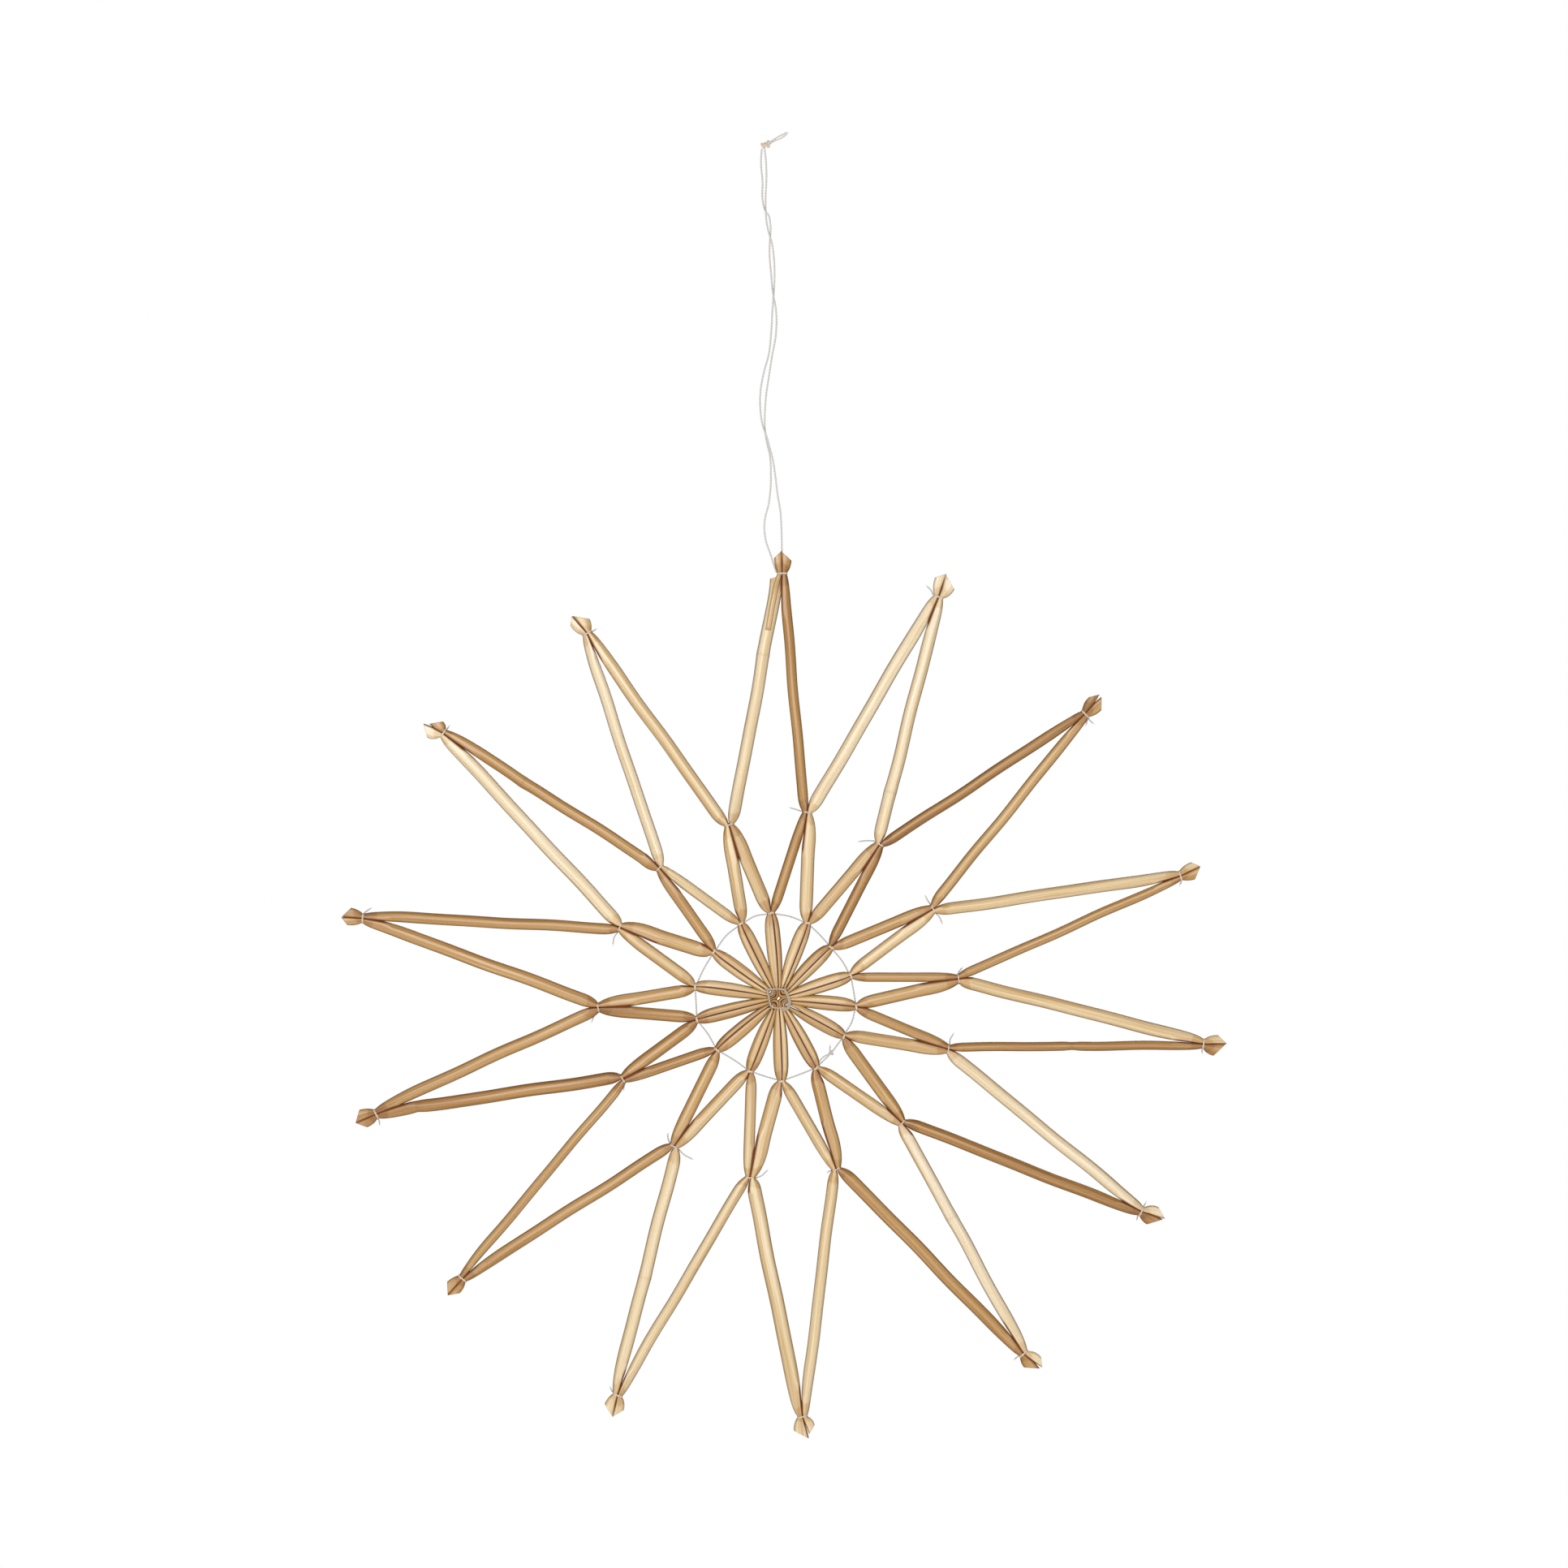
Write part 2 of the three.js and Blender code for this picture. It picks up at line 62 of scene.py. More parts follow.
# Inner ties, all turns of one thread: degrees clockwise from straight up, and radii
INNER_ANGLES = [-5.3, 20.4, 45, 71.8, 95.6, 119.7, 151.6, 178.4, 202.1, 230.8, 256.1, 278.3, 306.1, 333.3]
INNER_RADII = [39.5, 37.1, 33.5, 34.4, 35.3, 34, 35.6, 37.3, 35.4, 36.5, 38.6, 38.7, 36.8, 38.7]

# Arms of the petals, left and right: width and tone outside the middle ties, and then inside them. A tone
# goes from 0 for the palest to the range for the darkest
TONE_RANGE = 1.25
WIDTHS = {
    LEFT: [5.8, 6.1, 4.9, 5.6, 6, 5.9, 5.6, 5.3, 5.1, 5.3, 5.9, 5.9, 6.3, 5.5],
    RIGHT: [4.8, 5.8, 5, 4.4, 4.3, 5.5, 5.9, 6.5, 5.9, 4.4, 5.6, 5.2, 5.3, 5.9],
}
TONES = {
    LEFT: [0.25, 0.15, 1.1, 0.4, 0.45, 0.2, 0.15, 0.3, 0.35, 0.9, 1.05, 0.8, 0.2, 0.15],
    RIGHT: [0.9, 0.15, 0.75, 0.85, 1.05, 1.05, 0.9, 0.35, 0.3, 0.75, 0.8, 0.9, 0.9, 0.4],
}
INNER_WIDTHS = {
    LEFT: [6.2, 6.1, 4.9, 5.6, 6, 5.9, 5.6, 5.3, 5.1, 5.8, 5.9, 5.9, 6.8, 5],
    RIGHT: [4.8, 5.8, 5.5, 4.4, 5, 6, 5.9, 6.5, 5.9, 4.9, 5.6, 5.9, 5.3, 5.9],
}
INNER_TONES = {
    LEFT: [0.45, 0.3, 1.05, 0.35, 0.75, 0.65, 0.45, 0.25, 0.4, 0.7, 0.9, 0.75, 0.65, 0.4],
    RIGHT: [1, 0.55, 0.9, 0.95, 0.95, 0.8, 0.7, 0.45, 0.55, 1, 1.1, 0.55, 0.9, 0.45],
}
ARM_DEPTH = 4.4

# Petals: their straws' tones, how strong the painted highlight stripe beside the seam is, how far the seam
# stands clockwise of the middle, and how far each petal bows clockwise
PETAL_TONES = {
    LEFT: [0.52, 0.57, 0.85, 0.6, 0.7, 0.53, 0.55, 0.57, 0.65, 0.7, 0.9, 0.64, 0.62, 0.5],
    RIGHT: [0.75, 0.64, 0.67, 0.68, 0.86, 0.72, 0.75, 0.64, 0.6, 0.86, 0.68, 0.6, 0.73, 0.6],
}
PAINTED_HIGHLIGHTS = {
    LEFT: [0.9, 0.3, 0.9, 1, 0.6, 0.8, 0.4, 0.7, 0.4, 0.2, 0.7, 0.2, 0.3, 0.3],
    RIGHT: [0.4, 0.8, 0.6, 0.4, 0.4, 0.4, 0.5, 0.3, 0.2, 0.6, 0.2, 0.9, 0.5, 0.3],
}
SEAM_SHIFTS = [1.1, 1.2, 0.3, 0.5, 0.4, 0.1, 0, -0.5, -0.6, 1.1, 0, 0.1, -0.4, -0.3]
PETAL_SHIFTS = [-0.2, -0.5, -0.6, 0, -0.6, -0.4, -0.1, -0.1, 0.2, -0.1, 0.2, 0.7, -0.2, -0.1]
PETAL_WIDTH = 3.6
PETAL_DEPTH = 4.6
PETAL_SWELL = 0.58

# Straws at the centre binding: their size, the step from turn to turn round a post, how far in from the post
# the last turn bulges, how much wider the bulge makes the straws, and how crushed they are
CORE_WIDTH = 1.06
CORE_DEPTH = 5
CORE_PITCH = 1.04
CORE_REACH = 5.4
TURN_LAP = 1.3
CORE_CRUSH = 0.5

# One straw's size in the ties, and the gap between two, which are pressed into each other
NECK_DEPTH = 3.6
TIP_NECK = 1.95
MID_NECK = 1.8
INNER_NECK = 1.15
PAIR_GAP = -0.4

# A straw's mesh: wall, sides, step along it, steps that its sizes and its way are smoothed over, and steps
# made one along its plain stretches, where it is crushed and shaded less than this
STRAW_WALL = 0.3
STRAW_SIDES = 32
STEP = 0.5
SMOOTHING = 1.6
WAY_SMOOTHING = 2.6
LONG_STEPS = 4
PLAIN_CRUSH = 0.08
PLAIN_SHADE = 0.01

# How far from a tie a straw takes to reach its full width, how round its shoulders are, and how far its
# crushing reaches
TIP_GROWTH = 24
MID_OUTER_GROWTH = 7.5
MID_INNER_GROWTH = 16
INNER_GROWTH = 8.5
PETAL_GROWTH = 9.5
TIP_ROUNDNESS = 0.62
ARM_ROUNDNESS = 0.72
PETAL_ROUNDNESS = 0.43
ROOT_ROUNDNESS = 0.62
CRUSH_REACH = 6.5

# How far a straw's middle line stands off the line between its ties, as shares of half its width, the same
# outside the middle ties, and how far each pair's middle leans clockwise just inside its tip tie
STAND_OFF = 0.3
STAND_OFFS = {
    LEFT: [0.5, 0.4, 0.4, 0.4, 0.2, 0.4, 0.25, 0.4, 0.6, 0.4, 0.4, 0.4, 0.25, 0.4],
    RIGHT: [0.55, 0.4, 0.6, 0.4, 0.4, 0.55, 0.6, 0.2, 0.6, 0.55, 0.25, 0.4, 0.1, 0.55],
}
TIP_SHIFTS = [-0.4, -0.3, 0, 0.3, 0, 0.4, -0.1, 0.1, 0.7, 0.7, 1.1, 0.7, 0.6, -0.5]

# Spear-shaped tips: where the seam side and the outer corner of the left straw end, and of the right straw,
# across and out from the tie's middle
TIP_CUTS = [
    [(-0.5, 10.4), (-3.6, 6.8), (-0.4, 10.4), (4, 5.6)],
    [(-0.6, 11.4), (-4.5, 7.5), (-0.5, 11.4), (5.1, 5.3)],
    [(-2.1, 11), (-4.3, 6.6), (-0.6, 10.9), (3.8, 6.6)],
    [(-1.6, 10.2), (-4.3, 6.3), (-1.3, 10.1), (3.4, 5.7)],
    [(-1.3, 10.9), (-4.4, 6.1), (-0.8, 10.6), (4.6, 4.8)],
    [(-2.8, 11.2), (-5.3, 5.6), (-1.7, 10.4), (3.8, 5)],
    [(-3.6, 10.3), (-5.4, 5.9), (-2.2, 9.9), (3.5, 5.3)],
    [(-2.9, 8.4), (-5, 4.1), (-2.2, 10.5), (4.2, 6)],
    [(-1.8, 10.4), (-4.8, 5.1), (-1.6, 10.4), (3.8, 5.8)],
    [(-1.5, 10.4), (-4, 5.2), (-1.2, 10.3), (3.4, 6.1)],
    [(-1.5, 10.5), (-4.4, 5.5), (-1.3, 10.5), (3.8, 6.7)],
    [(-1.5, 9.9), (-4.2, 6.3), (-1, 9.7), (3.6, 6)],
    [(-2.3, 10.1), (-5.7, 4.6), (-0.4, 7.8), (4.1, 3.5)],
    [(-2.6, 10.5), (-4.9, 6.7), (-2, 10.4), (3.9, 5.1)],
]
TIP_DEPTH = 1.9
TIP_OPENING = 0.35
TIP_FLARE = 2.7
TIP_PARTING = 4
TIP_LAP = 0.3

# Spliced-in strip at the first tip, across and out from the tie, in front of the straw that ends short of it
SPLICE_WAY = [(-0.95, 0), (-2.25, -3.3), (-3.4, -9.5), (-4.7, -16.4), (-6.25, -26)]
SPLICE_WIDTH = 2.4
SPLICE_DEPTH = 0.7
SPLICE_GROWTH = 5
SPLICE_RISE = 12
STRIP_TONE = 0.65

# The straw that ends short: how far from the tie, its least width and how far in that holds, how far
# outwards it stands and over how long a way, the same at its end, and how slanting, flat and far back it is
SHORT_END = 2
SHORT_FULL_WIDTH = 5.9
SHORT_FULL_REACH = 45
SHORT_SHIFT = 0.45
SHORT_SHIFT_REACH = 60
SHORT_END_SHIFT = 0.7
SHORT_END_REACH = 4
SHORT_END_SLANT = 0.4
SHORT_SLANT_REACH = 2
SHORT_FLATTENING = 0.55
SHORT_BACK = 0.9
SHORT_EASE = 9

# One straw's kink: petal, side, distance from the binding and shift off the petal's middle, and its length
KINK = (5, LEFT, 4.5, 0.9)
KINK_WIDTH = 2.5

# Bends, waists and lines at straw joints: how far they reach, and for each joint its petal, side, distance
# from the tip tie, shift anticlockwise and change of width
BEND_REACH = 16
WAIST_REACH = 2.2
LINE_REACH = 0.5
LINE_SHADE = 0.14
JOINTS = [
    (12, RIGHT, 42.5, 0.5, 0.05),
    (10, LEFT, 19, -0.7, -0.1),
    (4, RIGHT, 60, 0.25, -0.14),
    (0, LEFT, 38, 0.1, 0.06),
    (1, RIGHT, 92, 0.1, 0.05),
    (6, LEFT, 70, -0.15, 0.04),
    (8, RIGHT, 55, 0.15, 0.04),
]

# Threads
THREAD = 0.85
TIP_TIE_THREAD = 1
MID_TIE_THREAD = 0.8
INNER_TIE_THREAD = 1.15
SPAN_THREAD = 0.78
TWIST_PITCH = 2.6
THREAD_STEP = 0.2
TAIL_STEP = 0.25
LOOP_TAIL_STEP = 0.22
SPAN_BOWS = [0.7, 0.2, 0.5, 0, 0.8, 0.6, 0.1, 0.2, -0.3, -0.5, 0, 0.4, 1, 1]

# Binding: its first post's angle, clockwise from straight up, and where its middle is
CORE_TURN = 36
HUB = (-0.3, 0.4)

# Thread ends at the ties: degrees clockwise from the tie's outward direction, and lengths
TIP_TAILS = {
    1: [(-58, 5)], 2: [(92, 3.4), (150, 3.2), (166, 2.6)], 3: [(130, 2)], 4: [(90, 1.8)],
    5: [(-92, 2), (84, 2)], 6: [(90, 2.6)], 8: [(128, 2.6)], 10: [(-92, 2.6)], 11: [(132, 3.7)],
    12: [(88, 1.8)], 13: [(94, 2)],
}
MID_TAILS = {
    0: [(-82, 5.6)], 1: [(-122, 7.6)], 2: [(-92, 4.4), (88, 5.4)], 3: [(-50, 3.3)], 4: [(-88, 4.8)],
    6: [(90, 1.9)], 7: [(-130, 6.6)], 8: [(-90, 8), (130, 4.4)], 9: [(-50, 3)], 10: [(-52, 5.2)],
    11: [(-92, 6.2)],
}

# Strands of the hanging loop from the star up to the knot: across, back, and down from the origin
LOOP_THREAD = 0.9
LEFT_STRAND = [
    (5.9, 2.4, -192.9), (4.9, 1.8, -190), (3.7, 1.5, -186), (1.2, 1.1, -178.6), (0.5, 0.9, -172),
    (0.8, 0.6, -169), (2.5, 0.5, -162), (3.4, 0.6, -154.3), (3.5, 0.7, -148), (3.2, 0.75, -141),
    (1.6, 0.75, -133.6), (0.8, 0.7, -128), (0.8, 0.4, -120), (1.3, 0, -113), (2.6, -0.3, -104),
    (4, -0.5, -95), (5.7, -0.6, -85.5), (6.1, -0.7, -79), (5.6, -0.75, -71.8), (4.6, -0.75, -67),
    (3.6, -0.5, -57), (2.9, 0.2, -48), (3.1, 0.7, -41.2), (3.4, 0.5, -37), (3.2, 0, -34),
    (2.4, -0.6, -30.4), (1.1, -0.75, -28.8), (-0.2, -0.5, -24), (-0.3, 0, -15), (-1, 0, -6),
    (-0.62, 0, -0.1),
]
RIGHT_STRAND = [
    (8.3, 2.4, -192.9), (8.5, 1.7, -189), (8.55, 1.5, -184), (8.5, 0.9, -180), (8.3, 0.4, -173),
    (7.9, 0, -166), (6.6, -0.3, -158), (5.6, -0.5, -150), (4.3, -0.65, -141.5), (3, -0.75, -136.5),
    (1.7, -0.75, -131.8), (0, -0.6, -127), (-1.3, -0.3, -119), (-1.2, 0, -110.5), (0.2, 0.3, -102.5),
    (2.6, 0.5, -93.5), (3.7, 0.6, -83), (4.2, 0.7, -74), (4.7, 0.75, -67.5), (5.2, 0.5, -57),
    (4.7, 0, -48), (3.8, -0.7, -42.5), (2.7, -0.6, -39), (1.8, 0, -35), (1.3, 0.65, -31),
    (1.15, 0.75, -28.5), (1.1, 0.5, -22), (1.5, 0, -13), (1.2, 0, -5), (0.62, 0, -0.1),
]

rng = np.random.default_rng(14)


def unit(vectors):
    """Each vector divided by its own length."""
    return vectors / np.linalg.norm(vectors, axis=-1, keepdims=True)


def ray(angle):
    """Unit vector in the star's plane, across and up, at an angle clockwise from straight up."""
    turn = np.radians(angle)
    return np.stack([np.sin(turn), np.cos(turn)], axis=-1)


def quarter_turn(vectors):
    """Vectors in the star's plane turned a quarter clockwise, seen from the front."""
    return np.stack([vectors[..., 1], -vectors[..., 0]], axis=-1)


def bell(apart, reach):
    """One in the middle, and to the minus square of the distance over the reach beside it."""
    return np.exp(-((apart / reach) ** 2))


def lengths_along(way):
    """Length along a way up to each of its points."""
    return np.concatenate([[0], np.cumsum(np.linalg.norm(np.diff(way, axis=0), axis=1))])


def star_centre():
    low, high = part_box("centre_binding")
    middle = (low + high) / 2 / MM
    return np.array([middle.x, middle.z])


STAR = star_centre()


def in_space(plane, back=0.0):
    """Points of the star's plane, with their places back from it, in the part's frame."""
    plane = np.asarray(plane, float)
    back = np.broadcast_to(back, plane.shape[:-1])
    return np.stack([plane[..., 0] + STAR[0], back, plane[..., 1] + STAR[1]], axis=-1)


ACROSS, BACK, UP = np.eye(3)
Tie = namedtuple("Tie", "centre axis across neck")


def tie_at(centre, neck):
    axis = unit(centre)
    return Tie(centre, axis, quarter_turn(axis), neck)


def tie_of(node, neck):
    low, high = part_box(node)
    middle = (low + high) / 2 / MM
    return tie_at(np.array([middle.x, middle.z]) - STAR, neck)


tips = [tie_of(f"tip_tie_{i + 1:02d}", TIP_NECK) for i in range(PETALS)]
mids = [tie_of(f"mid_tie_{i + 1:02d}", MID_NECK) for i in range(PETALS)]
inners = [tie_at(ray(a) * r, INNER_NECK) for a, r in zip(INNER_ANGLES, INNER_RADII)]


# Meshes

def grid_faces(rows, columns, closed=False):
    """Quads of a tube: rows of points along it, joined round, and end to end when closed."""
    row = np.arange(rows if closed else rows - 1)[:, None]
    column = np.arange(columns)[None, :]
    after = (column + 1) % columns
    below = (row + 1) % rows
    return np.stack(
        [row * columns + column, row * columns + after, below * columns + after, below * columns + column],
        axis=-1,
    ).reshape(-1, 4)


def tube(rings, fields, closed=False):
    """Points, faces and point fields of a tube through rings, its ends closed to a point each."""
    rows, columns = rings.shape[:2]
    points = rings.reshape(-1, 3)
    quads = grid_faces(rows, columns, closed)
    values = {name: field.reshape(rows * columns, -1) for name, field in fields.items()}
    triangles = np.zeros((0, 3), int)
    if not closed:
        around = np.arange(columns)
        after = (around + 1) % columns
        last = (rows - 1) * columns
        start = np.full(columns, rows * columns)
        triangles = np.concatenate([
            np.stack([start, after, around], axis=-1),
            np.stack([start + 1, last + around, last + after], axis=-1),
        ])
        points = np.concatenate([points, rings[[0, -1]].mean(axis=1)])
        values = {name: np.concatenate([value, value[[0, last]]]) for name, value in values.items()}
    return points, quads, triangles, values


def flipped_if_inside_out(points, quads, triangles):
    """The same faces, turned over where they enclose a negative volume."""
    halves = np.concatenate([quads[:, [0, 1, 2]], quads[:, [0, 2, 3]], triangles])
    a, b, c = (points[halves[:, k]] for k in range(3))
    if np.einsum("ij,ij->i", a, np.cross(b, c)).sum() < 0:
        return quads[:, ::-1], triangles[:, ::-1]
    return quads, triangles


def placed(name, data):
    """A new object in the scene."""
    made = bpy.data.objects.new(name, data)
    bpy.context.scene.collection.objects.link(made)
    return made


def piece(name, tubes, material, node):
    """One mesh of several tubes, riding on the root body in place of a node."""
    points, faces, values, count = [], [], {}, 0
    for tube_points, quads, triangles, fields in tubes:
        quads, triangles = flipped_if_inside_out(tube_points, quads, triangles)
        faces += (quads + count).tolist() + (triangles + count).tolist()
        points.append(tube_points)
        for field, value in fields.items():
            values.setdefault(field, []).append(value)
        count += len(tube_points)
    mesh = bpy.data.meshes.new(name)
    mesh.from_pydata((np.concatenate(points) * MM).tolist(), [], faces)
    for field, value in values.items():
        flat = np.concatenate(value).astype(np.float32)
        vector = flat.shape[1] == 3
        layer = mesh.attributes.new(field, "FLOAT_VECTOR" if vector else "FLOAT", "POINT")
        layer.data.foreach_set("vector" if vector else "value", flat.ravel())
    mesh.shade_smooth()
    mesh.materials.append(material)
    made = placed(name, mesh)
    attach(made, "root")
    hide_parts(node)
    return made


# Threads

def smooth_line(points, step=THREAD_STEP):
    """A curve through points: cubic pieces whose slopes are the differences of their neighbours."""
    points = np.asarray(points, float)
    at = lengths_along(points)
    slope = np.gradient(points, at, axis=0)
    wanted = np.linspace(0, at[-1], max(2, int(round(at[-1] / step)) + 1))
    k = np.clip(np.searchsorted(at, wanted, side="right") - 1, 0, len(at) - 2)
    span = (at[k + 1] - at[k])[:, None]
    t = (wanted - at[k])[:, None] / span
    return (
        (2 * t**3 - 3 * t**2 + 1) * points[k]
        + (t**3 - 2 * t**2 + t) * span * slope[k]
        + (3 * t**2 - 2 * t**3) * points[k + 1]
        + (t**3 - t**2) * span * slope[k + 1]
    )


def carried_frames(path, closed):
    """Directions along a path and two across it, carried on from point to point without turning."""
    if closed:
        along = unit(np.roll(path, -1, axis=0) - np.roll(path, 1, axis=0))
    else:
        along = unit(np.gradient(path, axis=0))
    least = np.eye(3)[np.argmin(np.abs(along[0]))]
    side = np.zeros_like(path)
    before = np.cross(along[0], least)
    for i, way in enumerate(along):
        before = before - way * (before @ way)
        before /= np.linalg.norm(before)
        side[i] = before
    return along, side, np.cross(along, side)


PLY_OFFSET = 0.18
PLY_RADIUS = 0.32
THREAD_SIDES = 14


def thread(path, diameter=THREAD, closed=False, tint=0.0, added_shade=0.0, thin_end=False):
    """Two-ply thread along a path: a section of two overlapping circles that turns as it goes on.

    At an angle from the line through both circles' centres, the section's radius is the offset
    times the cosine, plus the root of the circle's radius squared less the offset times the sine
    squared. The turn grows evenly with the length, by one turn for each pitch.
    """
    along, side, up = carried_frames(path, closed)
    ends = np.roll(path, -1, axis=0) if closed else np.concatenate([path[1:], path[-1:]])
    steps = np.linalg.norm(ends - path, axis=1)
    at = np.concatenate([[0], np.cumsum(steps)[:-1]])
    turns = np.sum(steps) / TWIST_PITCH
    if closed:
        drift = np.arctan2(side[-1] @ up[0], side[-1] @ side[0])
        turns = round(turns) - drift / (2 * np.pi) * (len(path) - 1) / len(path)
    twist = 2 * np.pi * turns * at / np.sum(steps)
    angle = np.arange(THREAD_SIDES)[None, :] * 2 * np.pi / THREAD_SIDES
    reach = PLY_OFFSET * np.abs(np.cos(angle)) + np.sqrt(PLY_RADIUS**2 - (PLY_OFFSET * np.sin(angle)) ** 2)
    reach = reach / (PLY_OFFSET + PLY_RADIUS) * diameter / 2 * np.ones((len(path), 1))
    if thin_end:
        reach = reach * np.interp(at, [0, at[-1] * 0.8, at[-1]], [1, 0.9, 0.3])[:, None]
    turned = angle + twist[:, None]
    rings = (
        path[:, None]
        + side[:, None] * (reach * np.cos(turned))[..., None]
        + up[:, None] * (reach * np.sin(turned))[..., None]
    )
    hollow = np.broadcast_to(1 - np.abs(np.cos(angle)), reach.shape)
    fields = {
        # Painted shade between the plies, plus any added painted shade
        "shade": np.clip(hollow**2 + added_shade, 0, 1),
        "tone": np.full_like(reach, tint),
        "fibre": MM * np.stack(np.broadcast_arrays(
            np.cos(angle) * diameter, np.sin(angle) * diameter, at[:, None],
        ), axis=-1),
    }
    return tube(rings, fields, closed)


KNOT_STEPS = 90


def knot_path(centre, right, up, out, size):
    """A trefoil knot: sine of the turn plus twice that of its double, the cosines taken off each
    other in the same way, and minus the sine of its triple outwards, scaled to the knot's size."""
    turn = np.linspace(0, 2 * np.pi, KNOT_STEPS, endpoint=False)[:, None]
    unit_size = size / 6
    return (
        centre
        + right * (np.sin(turn) + 2 * np.sin(2 * turn)) * unit_size
        + up * (np.cos(turn) - 2 * np.cos(2 * turn)) * unit_size
        - out * np.sin(3 * turn) * unit_size
    )


FRAY_LENGTH = 0.9
FRAY_THREAD = 0.22
FRAY_SPREAD = 0.33


def frayed(end, way, count=3):
    """Single fibres that spread from a thread's cut end."""
    made = []
    for _ in range(count):
        spread = unit(way + rng.normal(0, FRAY_SPREAD, 3))
        path = smooth_line([end - way * 0.4, end + way * 0.2, end + spread * FRAY_LENGTH])
        made.append(thread(path, FRAY_THREAD, thin_end=True))
    return made


TIE_POINTS = 72
TIE_SQUARENESS = 0.78
TIE_TILT = 0.12
TIE_WAVE = 0.12


def tie_ring(tie, diameter):
    """Closed way round a pair of straws, a little sunk into them: an oval with its corners filled out,
    tilted by chance and bent by a wave of two turns."""
    tilt = rng.uniform(-TIE_TILT, TIE_TILT)
    turn = np.linspace(0, 2 * np.pi, TIE_POINTS, endpoint=False)
    wide = tie.neck + diameter * 0.1
    deep = NECK_DEPTH / 2 + diameter * 0.3
    x = wide * np.sign(np.cos(turn)) * np.abs(np.cos(turn)) ** TIE_SQUARENESS
    y = -deep * np.sign(np.sin(turn)) * np.abs(np.sin(turn)) ** TIE_SQUARENESS
    along = tilt * x + TIE_WAVE * np.sin(2 * turn)
    plane = tie.centre + np.outer(x, tie.across) + np.outer(along, tie.axis)
    return in_space(plane, y)


KNOT_THREAD = 0.75
KNOT_SIZE = 1.9
KNOT_BACK = NECK_DEPTH / 2 + THREAD * 0.75
# Added painted shade on the tie tails
TAIL_PAINTED_SHADE = 0.35
TAIL_BEND = 0.12
TAIL_RISE = 0.5
# Tie turns tinted pinkish cream: painted light bounced from the straws
TIE_BOUNCE_TINT = 0.3


def tie_tubes(tie, tails, diameter):
    """A turn of thread, its knot at the back, and the cut ends that come out at the sides."""
    tubes = [thread(tie_ring(tie, diameter), diameter, closed=True, tint=TIE_BOUNCE_TINT)]
    side = RIGHT if not tails or math.sin(math.radians(tails[0][0])) > 0 else LEFT
    right, up = (in_space(way) - in_space([0, 0]) for way in (tie.across, tie.axis))
    knot = in_space(tie.centre + tie.across * side * tie.neck * 0.45, KNOT_BACK)
    tubes.append(thread(knot_path(knot, right, up, BACK, KNOT_SIZE), KNOT_THREAD, closed=True))
    for angle, length in tails:
        toward = math.sin(math.radians(angle))
        way = tie.axis * math.cos(math.radians(angle)) + tie.across * toward
        shoulder = tie.centre + tie.across * np.sign(toward) * (tie.neck + 0.3)
        end = shoulder + way * length
        bend = quarter_turn(way) * rng.uniform(-TAIL_BEND, TAIL_BEND) * length
        ways = [
            knot,
            in_space(shoulder * 0.35 + tie.centre * 0.65, KNOT_BACK * 0.95),
            in_space(shoulder, KNOT_BACK * 0.7),
            in_space((shoulder + end) / 2 + bend, KNOT_BACK * 0.45),
            in_space(end, KNOT_BACK * 0.3 + rng.uniform(-TAIL_RISE, TAIL_RISE)),
        ]
        path = smooth_line(ways, TAIL_STEP)
        tubes.append(thread(path, KNOT_THREAD, added_shade=TAIL_PAINTED_SHADE))
        tubes += frayed(path[-1], unit(path[-1] - path[-4]))
    return tubes


# Straws

FIELDS = ("at", "wide", "deep", "touch", "crush", "back", "slant", "tone", "shade", "rib")


def run_of(at, wide, deep, **others):
    """A stretch of straw: arrays of its middle line, width, depth and what else changes along it."""
    run = {name: np.zeros(len(at)) for name in FIELDS}
    run.update(at=at, wide=wide, deep=deep)
    for name, value in others.items():
        run[name] = np.broadcast_to(value, len(at)).astype(float)
    return run


def chained(runs):
    """Stretches one after the other, made one."""
    return {name: np.concatenate([run[name] for run in runs]) for name in FIELDS}


def backwards(run):
    """The same stretch the other way round, which swaps the side of the straw that it touches."""
    turned = {name: run[name][::-1] for name in FIELDS}
    turned["touch"] = -turned["touch"]
    return turned


def swell(distance, growth, power=1.0):
    """Share of full size at a distance from a tie: one less the square of what is left of the growth,
    to a power that rounds the shoulders off."""
    return (1 - (1 - np.clip(distance / growth, 0, 1)) ** 2) ** power


SOFTNESS = 0.4
TOUCH_REACH = 0.5


def pushed(at, wide, tie, side):
    """Points moved away from a pair's middle line until a straw of each width clears it.

    The move is half of what is lacking plus the root of its square and the softness squared, so it
    fades out smoothly. Also gives how closely the straw touches the other one, from 0 to 1.
    """
    lacking = (wide + PAIR_GAP) / 2 - side * ((at - tie.centre) @ tie.across)
    move = (lacking + np.sqrt(lacking**2 + SOFTNESS**2)) / 2
    return at + np.outer(side * move, tie.across), np.clip(1 + lacking / TOUCH_REACH, 0, 1)


def stood_off(tie, side, distance, growth, width, stand_off):
    """Moves away from a tie's middle line: half a pressed neck at the tie, and past the growth the stand-off
    times half the width."""
    pressed = (tie.neck + PAIR_GAP) / 2
    off = pressed + (stand_off * width / 2 - pressed) * swell(distance, growth)
    return np.outer(side * off, tie.across)


